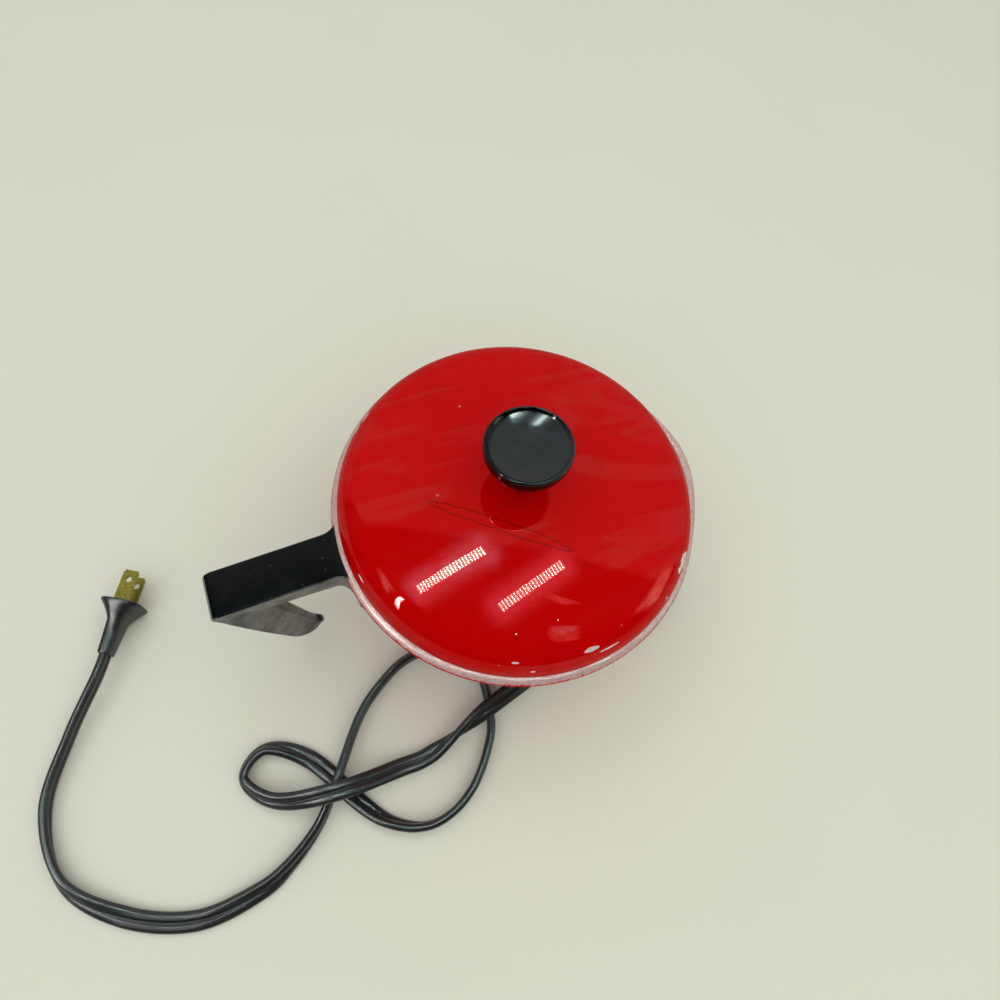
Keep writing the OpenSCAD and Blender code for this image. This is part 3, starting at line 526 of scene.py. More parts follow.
@dataclass(frozen=True)
class Enamel(Finish):
    """Glossy red enamel on aluminium, with chips that show the metal, and highlights painted as
    such chips.
    """

    colour: Colour = (0.53, 0.0006, 0.0008)
    deep: Colour = (0.49, 0.0003, 0.0006)
    pit: Colour = (0.62, 0.25, 0.24)
    metal: Colour = (0.74, 0.66, 0.64)
    metal_stain_and_reflected_red: Colour = (0.5, 0.36, 0.35)
    hair: Colour = (0.11, 0.001, 0.002)
    chips_and_painted_highlights: Tuple[ChipOrPaintedHighlight, ...] = ()
    scratched: bool = False

    @staticmethod
    def hairline(on: Surface) -> Signal:
        """Masks the hairline that runs round a long narrow loop in the lid's enamel.

        Args:
            on: The material's surface.

        Returns:
            The mask.
        """
        graph, long, narrow = on.graph, 0.0326, 0.00235
        shake = graph.vector("SUBTRACT", graph.take(
            "ShaderNodeTexNoise", "Color", {"Vector": on.spot, "Scale": 90.0}), (0.5, 0.5, 0.5))
        wobble = graph.take("ShaderNodeVectorMath", "Vector", {0: shake, "Scale": 0.0022},
                            operation="SCALE")
        offset = graph.vector("SUBTRACT", graph.vector("ADD", on.spot, wobble),
                              (-0.0168, -0.0175, 0.0))
        run = graph.vector("DOT_PRODUCT", offset, (0.787, -0.616, 0.0), output="Value") / long
        out = graph.vector("DOT_PRODUCT", offset, (0.616, 0.787, 0.0), output="Value") / narrow
        steep = graph.math("SQRT", (run / long) ** 2.0 + (out / narrow) ** 2.0)
        far = abs(run * run + out * out - 1.0) / (steep * 2.0)
        return far.ramp(0.0004, 0.00015)

    def bare_metal(self, on: Surface) -> Signal:
        """Mixes the bare metal's colour."""
        stain = on.noise(900.0, 4.0, 0.7).ramp(0.45, 0.75)
        return on.graph.mix(stain, self.metal, self.metal_stain_and_reflected_red)

    def coat(self, on: Surface, bare: Signal, bare_rough: Value) -> None:
        """Lays the enamel where the metal isn't bare.

        Args:
            on: The material's surface.
            bare: The mask of bare metal.
            bare_rough: The bare metal's roughness.
        """
        mix = on.graph.mix
        paint = mix(on.noise(16.0).ramp(0.35, 0.7) * 0.35, self.colour, self.deep)
        paint = mix(on.specks(420.0, 0.006) * 0.5, paint, self.pit)
        if self.scratched:
            paint = mix(self.hairline(on) * 0.6, paint, self.hair)
        smears = on.graph.use(on.effects.smears, Vector=on.spot, Scale=11.0)["Amount"]
        rough = on.graph.take("ShaderNodeMix", 0, {
            "Factor": bare, 2: smears * 0.04 + 0.008, 3: bare_rough}, data_type="FLOAT")
        on.set(Base_Color=mix(bare, paint, self.bare_metal(on)), Roughness=rough,
               Metallic=bare.ramp(0.0, 1.0, 0.14, 0.3), Coat_Roughness=0.008,
               Coat_Weight=bare.ramp(0.0, 1.0, 0.13, 0.0), Specular_IOR_Level=0.0)
        on.bump(on.noise(24.0, 2.0) + on.graph.math("SUBTRACT", 1.0, bare), 0.17, 0.00012)

    def paint(self, on: Surface) -> None:
        """Lays the lid's enamel, bare on its underside and at its chips, among which are painted
        highlights.

        Args:
            on: The material's surface.
        """
        bare = on.facing().ramp(-0.05, -0.3)
        # The chips include painted highlights, drawn as bare metal.
        for chip_or_highlight in self.chips_and_painted_highlights:
            bare = bare.most(chip_or_highlight.mask(on))
        self.coat(on, bare, 0.38)


@dataclass(frozen=True)
class VesselEnamel(Enamel):
    """The vessel's enamel: bare inside and on the worn top of the rolled rim, whose metal is
    tinted pink as a painted reflection of the red lid.
    """

    bare_from: float = 105.3
    # The rim's pink metal colours are a painted reflection of the red lid.
    metal: Colour = (0.56, 0.4, 0.39)
    metal_stain_and_reflected_red: Colour = (0.42, 0.17, 0.16)
    inner_metal: Colour = (0.5, 0.49, 0.47)
    inner_below: float = 103.5

    def bare_metal(self, on: Surface) -> Signal:
        """Mixes the bare metal's colour: plain inside, and on the rim tinted pink as a painted
        reflection of the red lid.

        Args:
            on: The material's surface.

        Returns:
            The colour.
        """
        top = self.inner_below * MM
        low = on.graph.parts(on.spot)[2].ramp(top, top - 0.0025)
        return on.graph.mix(low, super().bare_metal(on), self.inner_metal)

    def paint(self, on: Surface) -> None:
        """Lays the enamel outside, up to the worn rim.

        Args:
            on: The material's surface.
        """
        graph = on.graph
        x, y, z = graph.parts(on.spot)
        level = graph.take("ShaderNodeCombineXYZ", 0, {"X": x, "Y": y})
        inside = graph.vector("DOT_PRODUCT", graph.place(Place.NORMAL), level,
                              output="Value").ramp(-0.002, -0.006)
        floor = on.facing().ramp(0.6, 0.9) * z.ramp(0.06, 0.04)
        ragged = z + (on.noise(420.0, 5.0, 0.75) - 0.5) * 0.0034
        edge = self.bare_from * MM
        flecks = on.specks(1300.0, 0.3) * z.ramp(0.1068, 0.1052, 0.15, 0.85)
        worn = graph.math("SUBTRACT", ragged.ramp(edge - 0.0003, edge + 0.0003), flecks,
                          clamp=True)
        rough = on.noise(1300.0, 4.0, 0.7).ramp(0.3, 0.75, 0.3, 0.55)
        self.coat(on, inside.most(floor).most(worn), rough)


# --------------------------------------------------------- modelling


def stretches(points: Sequence[Tuple[float, ...]]) -> List[Tuple[Tuple[float, ...], ...]]:
    """Lists the stretches of a route, each with its neighbours.

    Args:
        points: The route's points.

    Returns:
        Four points for each stretch: the one before, its ends and the one after.
    """
    last = len(points) - 1
    return [(points[max(i - 1, 0)], points[i], points[i + 1], points[min(i + 2, last)])
            for i in range(last)]


def spline(quad: Sequence[Tuple[float, ...]], t: float) -> Tuple[float, ...]:
    """Gives the point at t on a smooth curve between the middle two of four points."""
    return tuple(0.5 * (2 * b + (c - a) * t + (2 * a - 5 * b + 4 * c - d) * t * t
                        + (3 * b - 3 * c + d - a) * t ** 3) for a, b, c, d in zip(*quad))


class Bench:
    """The modelling moves that the sub-assemblies share."""

    @staticmethod
    def clear() -> None:
        """Goes to object mode with nothing selected."""
        if bpy.context.mode != "OBJECT":
            bpy.ops.object.mode_set(mode="OBJECT")
        bpy.ops.object.select_all(action="DESELECT")

    @classmethod
    def select(cls, piece: bpy.types.Object) -> None:
        """Selects one piece and makes it active.

        Args:
            piece: The piece.
        """
        cls.clear()
        piece.select_set(True)
        bpy.context.view_layer.objects.active = piece

    @staticmethod
    def hang(name: str, data: bpy.types.ID) -> bpy.types.Object:
        """Puts new data into the scene.

        Args:
            name: The object's name.
            data: Its mesh, camera or light.

        Returns:
            The new object.
        """
        item = bpy.data.objects.new(name, data)
        bpy.context.scene.collection.objects.link(item)
        return item

    @classmethod
    def point(cls, name: str, start: Point3) -> bpy.types.Object:
        """Starts a piece in edit mode as one selected point.

        Args:
            name: The piece's name.
            start: The point, in metres.

        Returns:
            The new object, in edit mode.
        """
        cls.clear()
        bpy.ops.mesh.primitive_plane_add(size=0.002, location=(0.0, 0.0, 0.0))
        piece = bpy.context.object
        piece.name = piece.data.name = name
        bpy.ops.object.mode_set(mode="EDIT")
        bpy.ops.mesh.select_all(action="SELECT")
        bpy.ops.mesh.merge(type="CENTER")
        bpy.ops.transform.translate(value=start)
        return piece

    @staticmethod
    def close() -> None:
        """Turns the faces of the piece in edit mode outwards and leaves that mode."""
        bpy.ops.mesh.select_all(action="SELECT")
        bpy.ops.mesh.normals_make_consistent(inside=False)
        bpy.ops.object.mode_set(mode="OBJECT")

    @classmethod
    def turned(cls, name: str, outline: Sequence[Point2], steps: int,
               smooth: float) -> bpy.types.Object:
        """Turns a half outline about the vertical axis, as on a lathe.

        Args:
            name: The piece's name.
            outline: Radius and height of each point, in millimetres.
            steps: How many steps the turn has.
            smooth: The angle under which edges are shaded smooth, in degrees.

        Returns:
            The finished piece.
        """
        first = outline[0]
        piece = cls.point(name, (first[0] * MM, 0.0, first[1] * MM))
        for before, after in zip(outline, outline[1:]):
            move = ((after[0] - before[0]) * MM, 0.0, (after[1] - before[1]) * MM)
            bpy.ops.mesh.extrude_region_move(TRANSFORM_OT_translate={"value": move})
        bpy.ops.mesh.select_all(action="SELECT")
        bpy.ops.mesh.spin(steps=steps, angle=math.tau, center=(0.0, 0.0, 0.0),
                          axis=(0.0, 0.0, 1.0))
        bpy.ops.mesh.select_all(action="SELECT")
        bpy.ops.mesh.remove_doubles(threshold=2e-6)
        cls.close()
        cls.smooth(piece, smooth)
        return piece

    @classmethod
    def smooth(cls, piece: bpy.types.Object, angle: float) -> None:
        """Shades a piece smooth where its edges turn by less than an angle in degrees."""
        cls.select(piece)
        bpy.ops.object.shade_smooth_by_angle(angle=math.radians(angle))

    @staticmethod
    def dress(piece: bpy.types.Object, material: bpy.types.Material) -> None:
        """Gives a piece one material."""
        piece.data.materials.clear()
        piece.data.materials.append(material)

    @classmethod
    def seat(cls, piece: bpy.types.Object, material: bpy.types.Material, body: Body,
             node: str, slot: str) -> None:
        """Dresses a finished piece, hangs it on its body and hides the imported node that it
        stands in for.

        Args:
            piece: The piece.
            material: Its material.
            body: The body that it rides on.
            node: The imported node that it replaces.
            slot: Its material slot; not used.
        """
        cls.dress(piece, material)
        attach(piece, body.value)
        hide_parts(node)
        LOG.info("%s: %d faces", piece.name, len(piece.data.polygons))

    @staticmethod
    def arc(centre: Point2, radius: float, start: float, end: float, steps: int) -> List[Point2]:
        """Lists points of an arc.

        Args:
            centre: Its centre.
            radius: Its radius.
            start: Its first angle, in degrees.
            end: Its last angle, in degrees.
            steps: How many steps it has.

        Returns:
            The points, both ends included.
        """
        turns = [math.radians(start + (end - start) * i / steps) for i in range(steps + 1)]
        return [(centre[0] + radius * math.cos(a), centre[1] + radius * math.sin(a))
                for a in turns]

    @staticmethod
    def curve(points: Sequence[Point2], steps: int) -> List[Point2]:
        """Rounds a polyline, with so many steps a stretch, into a curve through its points."""
        return [spline(quad, k / steps) for quad in stretches(points)
                for k in range(steps)] + [tuple(points[-1])]


# --------------------------------------------------------------------- pieces

PLUG_END: Point3 = (-213.4, 16.7, 12.8)
PLUG_TURN = 61.0


@dataclass
class Cord:
    """The flat two-core cord, from the boot to the plug. Its route has x, y, z and turn."""

    material: bpy.types.Material
    width: float = 9.6
    thickness: float = 4.2
    groove: float = 0.7
    outlet: Point3 = (74.58, 0.0, 11.5)
    outlet_turn: float = -270.0
    plug_roll: float = 90.0
    plug_run: float = 12.0
    step: float = 1.6
    route: Tuple[Station, ...] = (
        (91, -3, 9.5, -270), (101, -12, 6.8, -270), (105, -27, 5.2, -270),
        (99, -43, 5.2, -262), (81, -53, 5.2, -250), (34, -58, 6.2, -205),
        (10, -62, 8, -188), (-30, -74, 13, -165), (-66, -86, 6.5, -20),
        (-85, -87.5, 7.5, 0), (-119, -88.5, 18, 0), (-148, -82, 8, 48),
        (-161, -66, 5, 76), (-147.5, -55.5, 4.9, 62), (-127, -68, 2.7, 12),
        (-107.5, -98, 3.7, 30), (-96, -111, 4.8, 62), (-81, -118.5, 4.9, 82),
        (-66, -117.5, 4.9, 90), (-51, -109, 4.9, 90), (-38, -94, 4.9, 90),
        (-30.5, -78, 4.9, 90), (-29.5, -50, 4.9, 90), (-50, -34.5, 5, 90),
        (-65.5, -34, 5, 90), (-82, -42.5, 5.1, 90), (-98, -56.5, 6.4, 90),
        (-119, -86.5, 10.3, 90), (-131.5, -101, 6.6, 84), (-148.5, -113, 4.9, 66),
        (-165, -119.5, 3.9, 34), (-195, -121.5, 2.4, 0), (-226, -108.5, 3, 10),
        (-250.5, -84, 4.8, 66), (-253.5, -49, 5.2, 90), (-237, -18, 8.6, 90))

    def stations(self) -> List[Station]:
        """Lists the route's close points with their turns.

        Returns:
            x, y and z in metres, and the turn in degrees, at each ring.
        """
        turn, run = math.radians(PLUG_TURN), self.plug_run
        x, y, z = PLUG_END
        out_x, out_y, out_z = self.outlet
        route = [(*self.outlet, self.outlet_turn), (out_x + 6, out_y, out_z, self.outlet_turn),
                 *self.route,
                 (x - run * math.cos(turn), y - run * math.sin(turn), z, self.plug_roll),
                 (x, y, z, self.plug_roll)]
        out: List[Station] = []
        for quad in stretches(route):
            start, end = quad[1:3]
            steps = max(2, round(math.dist(start[:3], end[:3]) / self.step))
            for t in (k / steps for k in range(steps)):
                out.append((*(v * MM for v in spline(quad, t)[:3]),
                            start[3] + (end[3] - start[3]) * t))
        return out + [(x * MM, y * MM, z * MM, self.plug_roll)]

    def section(self) -> List[Point2]:
        """Lists the points of the cord's section, in metres.

        Returns:
            Points across and through the cord, going round once.
        """
        half, thin = self.width / 2, self.thickness / 2
        side = Bench.arc((half - thin, 0.0), thin, -90, 90, 10)
        top = [(half - thin - 0.7, thin), (1.6, thin), (1.1, thin - 0.1 * self.groove),
               (0.65, thin - 0.5 * self.groove), (0.28, thin - 0.9 * self.groove),
               (0.0, thin - self.groove)]
        top += [(-x, y) for x, y in reversed(top[:-1])]
        around = [*side, *top]
        return [(x * MM, y * MM) for x, y in (*around, *((-x, -y) for x, y in around))]

    def build(self, plug: bpy.types.Object) -> bpy.types.Object:
        """Args:
            plug: The plug's body, which the cord ends in; not used.

        Returns:
            The cord.
        """
        stations, section = self.stations(), self.section()
        count, sides = len(stations), len(section)
        spots = [Vector(station[:3]) for station in stations]
        verts: List[Vector] = []
        for i, here in enumerate(spots):
            way = (spots[min(i + 1, count - 1)] - spots[max(i - 1, 0)]).normalized()
            level = way.cross(Vector((0, 0, 1))).normalized()
            rise = level.cross(way)
            turn = math.radians(stations[i][3])
            broad = level * math.cos(turn) + rise * math.sin(turn)
            thin = rise * math.cos(turn) - level * math.sin(turn)
            verts += [here + broad * p + thin * q for p, q in section]
        faces = [tuple(reversed(range(sides)))]
        faces += [(i * sides + j, i * sides + (j + 1) % sides,
                   (i + 1) * sides + (j + 1) % sides, (i + 1) * sides + j)
                  for i in range(count - 1) for j in range(sides)]
        faces.append(tuple(range((count - 1) * sides, count * sides)))
        mesh = bpy.data.meshes.new("cord_flat")
        mesh.from_pydata(verts, [], faces)
        piece = Bench.hang("cord_flat", mesh)
        Bench.select(piece)
        bpy.ops.object.mode_set(mode="EDIT")
        Bench.close()
        Bench.smooth(piece, 50)
        Bench.seat(piece, self.material, Body.POT, "cord", "cord_rubber")
        return piece


@dataclass
class Plug:
    """The moulded plug's body: slim, then widening into a front flange.

    Its rings have the distance from the cord's end, the width and the height.
    """

    material: bpy.types.Material
    roundness: float = 3.2
    rings: Tuple[Point3, ...] = (
        (0.0, 6.6, 11.0), (1.2, 7.0, 11.4), (10.0, 8.0, 13.4), (17.6, 8.6, 15.6),
        (20.6, 11.2, 18.6), (23.6, 15.4, 22.0), (25.6, 18.8, 23.8), (27.1, 21.6, 25.0),
        (27.8, 21.6, 25.0), (28.0, 20.8, 24.2))

    def build(self) -> bpy.types.Object:
        """Extrudes the body ring by ring and rounds it.

        Returns:
            The plug's body.
        """
        Bench.clear()
        bpy.ops.mesh.primitive_circle_add(vertices=40, radius=0.5, fill_type="NGON",
                                          location=(0.0, 0.0, 0.0))
        piece = bpy.context.object
        piece.name = piece.data.name = "plug_moulding"
        self._square(piece)
        Bench.select(piece)
        bpy.ops.object.mode_set(mode="EDIT")
        bpy.ops.mesh.select_all(action="SELECT")
        at, wide, high = self.rings[0]
        bpy.ops.transform.resize(value=(wide * MM, high * MM, 1.0), center_override=(0, 0, 0))
        for next_at, next_wide, next_high in self.rings[1:]:
            bpy.ops.mesh.extrude_region_move(
                TRANSFORM_OT_translate={"value": (0, 0, (next_at - at) * MM)})
            bpy.ops.transform.resize(value=(next_wide / wide, next_high / high, 1.0),
                                     center_override=(0, 0, next_at * MM))
            at, wide, high = next_at, next_wide, next_high
        Bench.close()
        turn = math.radians(PLUG_TURN)
        way = Vector((math.cos(turn), math.sin(turn), 0.0))
        side = Vector((-math.sin(turn), math.cos(turn), 0.0))
        place = Matrix((side, Vector((0, 0, 1)), way)).transposed().to_4x4()
        place.translation = Vector(PLUG_END) * MM
        piece.data.transform(place)
        Bench.select(piece)
        bevel = piece.modifiers.new("bevel", "BEVEL")
        bevel.width, bevel.segments = 0.0003, 2
        bevel.limit_method, bevel.angle_limit = "ANGLE", math.radians(40)
        bpy.ops.object.modifier_apply(modifier=bevel.name)
        Bench.smooth(piece, 40)
        Bench.seat(piece, self.material, Body.POT, "plug_body", "cord_rubber")
        return piece

    def _square(self, piece: bpy.types.Object) -> None:
        """Pulls the round start towards a rounded square.

        Args:
            piece: The piece, in object mode.
        """
        power = self.roundness
        for vertex in piece.data.vertices:
            x, y = vertex.co.x * 2, vertex.co.y * 2
            size = (abs(x) ** power + abs(y) ** power) ** (1 / power)
            if size > 1e-6:
                vertex.co.x, vertex.co.y = x / size / 2, y / size / 2


@dataclass
class Vessel:
    """The tapered vessel with its rolled rim, pulled out softly into the pour lip."""

    enamel: bpy.types.Material
    bottom_z: float = 22.0
    low_r: float = 51.6
    slope: float = 0.36203
    sheet: float = 1.6
    corner: float = 6.0
    bead_z: float = 104.0
    bead_c: float = 82.58
    bead_r: float = 3.0
    lip_pull: float = 4.7
    lip_size: float = 50.0
    lip_grab: float = 1.2

    @property
    def lean(self) -> float:
        """How far the wall leans from upright, in degrees."""
        return math.degrees(math.atan(self.slope))

    def bend(self, radius: float, base: float, size: float) -> List[Point2]:
        """Lists the rounded corner from the bottom up to the wall.

        Args:
            radius: Where the wall's line meets the bottom.
            base: The bottom's height.
            size: The corner's radius.

        Returns:
            Its points.
        """
        centre = (radius + size * self.slope - size / math.cos(math.radians(self.lean)),
                  base + size)
        return Bench.arc(centre, size, -90, -self.lean, 8)

    def build(self) -> bpy.types.Object:
        """Turns the vessel and pulls its lip.

        Returns:
            The vessel.
        """
        floor = self.bottom_z + self.sheet
        inner = self.low_r - self.sheet / math.cos(math.radians(self.lean))
        outline: List[Point2] = [(0.0, self.bottom_z)]
        outline += self.bend(self.low_r, self.bottom_z, self.corner + self.sheet)
        outline += Bench.arc((self.bead_c, self.bead_z), self.bead_r, -134, 180, 44)
        outline += reversed(self.bend(inner + self.sheet * self.slope, floor, self.corner))
        outline.append((0.0, floor))
        piece = Bench.turned("vessel_turned", outline, 288, 32)
        tip = Vector(((self.bead_c + self.bead_r) * MM, 0.0, self.bead_z * MM))
        for vertex in piece.data.vertices:
            vertex.select = (vertex.co - tip).length < self.lip_grab * MM
        for part in (*piece.data.edges, *piece.data.polygons):
            part.select = False
        bpy.ops.object.mode_set(mode="EDIT")
        bpy.ops.mesh.select_mode(type="VERT")
        bpy.ops.transform.translate(
            value=(self.lip_pull * MM, 0.0, 0.0), use_proportional_edit=True,
            proportional_edit_falloff="SMOOTH", proportional_size=self.lip_size * MM)
        bpy.ops.object.mode_set(mode="OBJECT")
        Bench.seat(piece, self.enamel, Body.POT, "pot_shell", "red_enamel")
        return piece


@dataclass
class Lid:
    """The domed lid with its knob."""

    enamel: bpy.types.Material
    phenolic: bpy.types.Material
    radius: float = 82.5
    seat_z: float = 107.3
    sheet: float = 1.0
    corner: float = 1.2
    crown_r: float = 300.0
    shoulder_r: float = 14.0
    skirt_r: float = 78.99
    skirt_h: float = 4.0
    hole_r: float = 2.2
    knob_r: float = 19.0
    knob_h: float = 29.6
    knob_lean: float = 3.4

    @property
    def crown_z(self) -> float:
        """The height of the dome's crown."""
        flank = self.crown_r - self.shoulder_r
        return (self.seat_z + self.corner + self.crown_r
                - math.sqrt(flank ** 2 - (self.radius - self.shoulder_r) ** 2))

    def shell(self) -> bpy.types.Object:
        """Turns the lid's sheet.

        Returns:
            The lid.
        """
        seat, sheet, skirt = self.seat_z, self.sheet, self.skirt_r
        inner_r, inner_skirt, low = self.crown_r - sheet, skirt - sheet, seat - self.skirt_h
        lean, hole_out, hole_in = (
            90 - math.degrees(math.asin(share)) for share in
            ((self.radius - self.shoulder_r) / (self.crown_r - self.shoulder_r),
             self.hole_r / self.crown_r, self.hole_r / inner_r))
        crown = (0.0, self.crown_z - self.crown_r)
        shoulder = (self.radius - self.shoulder_r, seat + self.corner)
        edge = (self.radius - self.corner, seat + self.corner)
        outline = Bench.arc(crown, self.crown_r, hole_out, lean, 40)
        outline += Bench.arc(shoulder, self.shoulder_r, lean, 0, 28)[1:]
        outline += Bench.arc(edge, self.corner, 0, -90, 8)[1:]
        outline += [(skirt + 0.25, seat), (skirt, seat - 0.25), (skirt, low + 0.3),
                    (skirt - 0.3, low), (inner_skirt + 0.3, low), (inner_skirt, low + 0.3),
                    (inner_skirt, seat + sheet), (self.radius - sheet - 0.3, seat + sheet)]
        outline += Bench.arc(shoulder, self.shoulder_r - sheet, 4, lean, 20)
        outline += Bench.arc(crown, inner_r, lean, hole_in, 24)[1:]
        piece = Bench.turned("lid_dome", outline + outline[:1], 224, 30)
        Bench.seat(piece, self.enamel, Body.LID, "lid_shell", "red_enamel")
        return piece

    def knob(self) -> bpy.types.Object:
        """Turns the knob: foot, waist, flare, thin raised ring and dished top.

        Returns:
            The knob.
        """
        base, wide, high = self.crown_z, self.knob_r, self.knob_h
        flank = [(0.36, 0.0), (0.372, 0.013), (0.368, 0.044), (0.34, 0.095),
                 (0.305, 0.182), (0.296, 0.292), (0.33, 0.395), (0.43, 0.478),
                 (0.6, 0.555), (0.78, 0.63), (0.91, 0.705), (0.975, 0.785),
                 (1.0, 0.87), (1.0, 0.94), (0.996, 0.97), (0.982, 0.988)]
        ring = [(0.97, 0.996), (0.95, 0.999), (0.93, 0.995), (0.915, 0.982), (0.88, 0.961)]
        dish = [(0.75, 0.933), (0.57, 0.9), (0.38, 0.876), (0.18, 0.863), (0.0, 0.86)]
        flank, ring, dish = ([(r * wide, base + z * high) for r, z in part]
                             for part in (flank, ring, dish))
        outline = [(0.0, base)] + Bench.curve(flank, 5) + Bench.curve(ring, 3)
        outline += Bench.curve([ring[-1]] + dish, 5)[1:]
        piece = Bench.turned("knob_moulding", outline, 128, 50)
        foot = Matrix.Translation((0.0, 0.0, base * MM))
        lean = Matrix.Rotation(math.radians(self.knob_lean), 4, (-0.88, -0.474, 0.0))
        piece.data.transform(foot @ lean @ foot.inverted())
        Bench.seat(piece, self.phenolic, Body.LID, "knob", "black_phenolic")
        return piece


# ---------------------------------------------------------------------- stage


@dataclass(frozen=True)
class Patch:
    """A soft-edged lamp for one of the gloss's smaller highlights.

    It has its name, its four corners in order in metres, its light, and which share of
    its width fades out at each side.
    """

    name: str
    corners: Tuple[Point3, Point3, Point3, Point3]
    colour: Colour
    soft: float = 0.3


@dataclass
class Studio:
    """The camera, floor, world and lamps."""

    camera_at: Point3 = (-0.0874, -0.1216, 0.4253)
    forward: Point3 = (0.22827, 0.35369, -0.90708)
    upward: Point3 = (0.2687, 0.87261, 0.40787)
    lens: float = 27.0
    floor_colour: Colour = (0.735, 0.755, 0.65)
    backdrop: Colour = (0.84, 0.85, 0.82)
    wall_way: Point3 = (0.487, 0.873, 0.0)
    wall_colour: Colour = (0.84, 0.86, 0.82)
    room_colour: Colour = (0.13, 0.125, 0.13)
    shade_colour: Colour = (0.02, 0.02, 0.02)
    fill_colour: Colour = (0.5, 0.5, 0.495)
    diode_colour: Colour = (205.0, 210.0, 204.0)
    gap_colour: Colour = (5.0, 20.0, 15.0)
    glow_colour: Colour = (2.0, 3.6, 4.6)
    rungs: float = 22.0
    rows: float = 2.0
    strip_width: float = 0.058
    glow: float = 0.17
    key_at: Point3 = (-0.14, -0.26, 1.6)
    key_size: float = 2.6
    key_power: float = 21.5
    key_colour: Colour = (1.0, 0.985, 0.96)
    patches: Tuple[Patch, ...] = (
        Patch("strip_end", ((-1.221, -0.281, 0.67), (-0.694, -0.02, 1.259),
                            (-0.64, -0.04, 1.287), (-1.241, -0.384, 0.56)),
              (150.0, 155.0, 150.0), 0.2),
        Patch("patch_right", ((0.645, -0.732, 0.904), (0.782, -0.173, 1.059),
                              (1.181, -0.444, 0.261), (0.9, -0.85, 0.03)), (3.4, 5.0, 3.8)),
        Patch("patch_near", ((0.145, -0.408, 1.263), (0.171, -0.331, 1.279),
                             (0.362, -0.382, 1.224), (0.319, -0.659, 1.119)), (2.0, 4.0, 3.9)),
        Patch("patch_middle", ((0.193, -0.186, 1.301), (0.241, -0.178, 1.294),
                               (0.419, -0.296, 1.227), (0.277, -0.264, 1.273)),
              (2.2, 4.6, 4.8)),
        Patch("patch_left", ((-0.878, 0.186, 0.988), (-0.527, 0.24, 1.201),
                             (-0.697, -0.02, 1.142), (-1.161, -0.191, 0.595)),
              (2.0, 3.4, 3.2)))

    def camera(self) -> None:
        """Places the camera where the photograph was taken from."""
        data = bpy.data.cameras.new("photo_camera")
        data.lens = self.lens
        data.sensor_width = 36.0
        data.sensor_fit = "HORIZONTAL"
        data.clip_start = 0.01
        camera = Bench.hang("photo_camera", data)
        ahead = Vector(self.forward).normalized()
        right = ahead.cross(Vector(self.upward)).normalized()
        turn = Matrix((right, right.cross(ahead), -ahead)).transposed().to_4x4()
        turn.translation = Vector(self.camera_at)
        camera.matrix_world = turn
        bpy.context.scene.camera = camera

    def floor(self, effects: SharedEffects) -> None:
        """Lays the plain pale floor.

        Args:
            effects: The shared node groups.
        """
        Bench.clear()
        bpy.ops.mesh.primitive_plane_add(size=12.0, location=(0.0, 0.0, -0.0002))
        plane = bpy.context.object
        plane.name = "floor"
        on = Surface("pale_floor", effects)
        dimmer = tuple(c * 0.985 for c in self.floor_colour)
        on.set(Base_Color=on.graph.mix(on.noise(6.0).ramp(0.3, 0.7), self.floor_colour, dimmer),
               Roughness=0.6, Specular_IOR_Level=0.0)
        Bench.dress(plane, on.material)

    def world(self) -> None:
        """Sets the pale surroundings: a bright side and a dimmer room above."""
        world = bpy.data.worlds.new("surroundings")
        bpy.context.scene.world = world
        world.use_nodes = True
        graph = Graph(world.node_tree)
        back = next(n for n in world.node_tree.nodes if n.type == "BACKGROUND")
        way = graph.place(Place.SKY)
        rise = graph.parts(way)[2]
        side = graph.vector("DOT_PRODUCT", way, self.wall_way, output="Value")
        room = graph.mix(side.ramp(0.15, 0.185), self.room_colour, self.wall_colour)
        shade = side.ramp(-0.02, -0.3) * rise.ramp(0.999, 0.97)
        path = graph.add("ShaderNodeLightPath")
        seen = graph.mix(path.outputs["Is Glossy Ray"], self.fill_colour,
                         graph.mix(shade, room, self.shade_colour))
        graph.feed(back.inputs["Color"],
                   graph.mix(path.outputs["Is Camera Ray"], seen, self.backdrop))
        back.inputs["Strength"].default_value = 1.0

    def card(self, name: str, corners: Sequence[Point3]) -> Tuple[Graph, Signal]:
        """Hangs a lamp that only shows in gloss.

        Args:
            name: The lamp's name.
            corners: Its four corners in order, in metres.

        Returns:
            Its material's graph, and coordinates that go from 0 to 1 over it.
        """
        mesh = bpy.data.meshes.new(name)
        mesh.from_pydata([Vector(corner) for corner in corners], [], [(0, 1, 2, 3)])
        layer = mesh.uv_layers.new(name="card")
        for loop, spot in zip(layer.data, ((0, 0), (1, 0), (1, 1), (0, 1))):
            loop.uv = spot
        lamp = Bench.hang(name, mesh)
        material = bpy.data.materials.new(name)
        material.use_nodes = True
        graph = Graph(material.node_tree)
        graph.tree.nodes.clear()
        Bench.dress(lamp, material)
        lamp.visible_camera = lamp.visible_diffuse = lamp.visible_shadow = False
        return graph, graph.place(Place.UV)

    @staticmethod
    def shine(graph: Graph, colour: object, mask: Signal) -> None:
        """Closes a lamp's material: it shines where the mask is, and is clear elsewhere.

        Args:
            graph: The material's graph.
            colour: The light's colour, or its signal.
            mask: The mask.
        """
        light = graph.take("ShaderNodeEmission", 0, {"Color": colour, "Strength": 1.0})
        clear = graph.take("ShaderNodeBsdfTransparent", 0)
        both = graph.take("ShaderNodeMixShader", 0, {0: mask, 1: clear, 2: light})
        graph.add("ShaderNodeOutputMaterial", {"Surface": both})

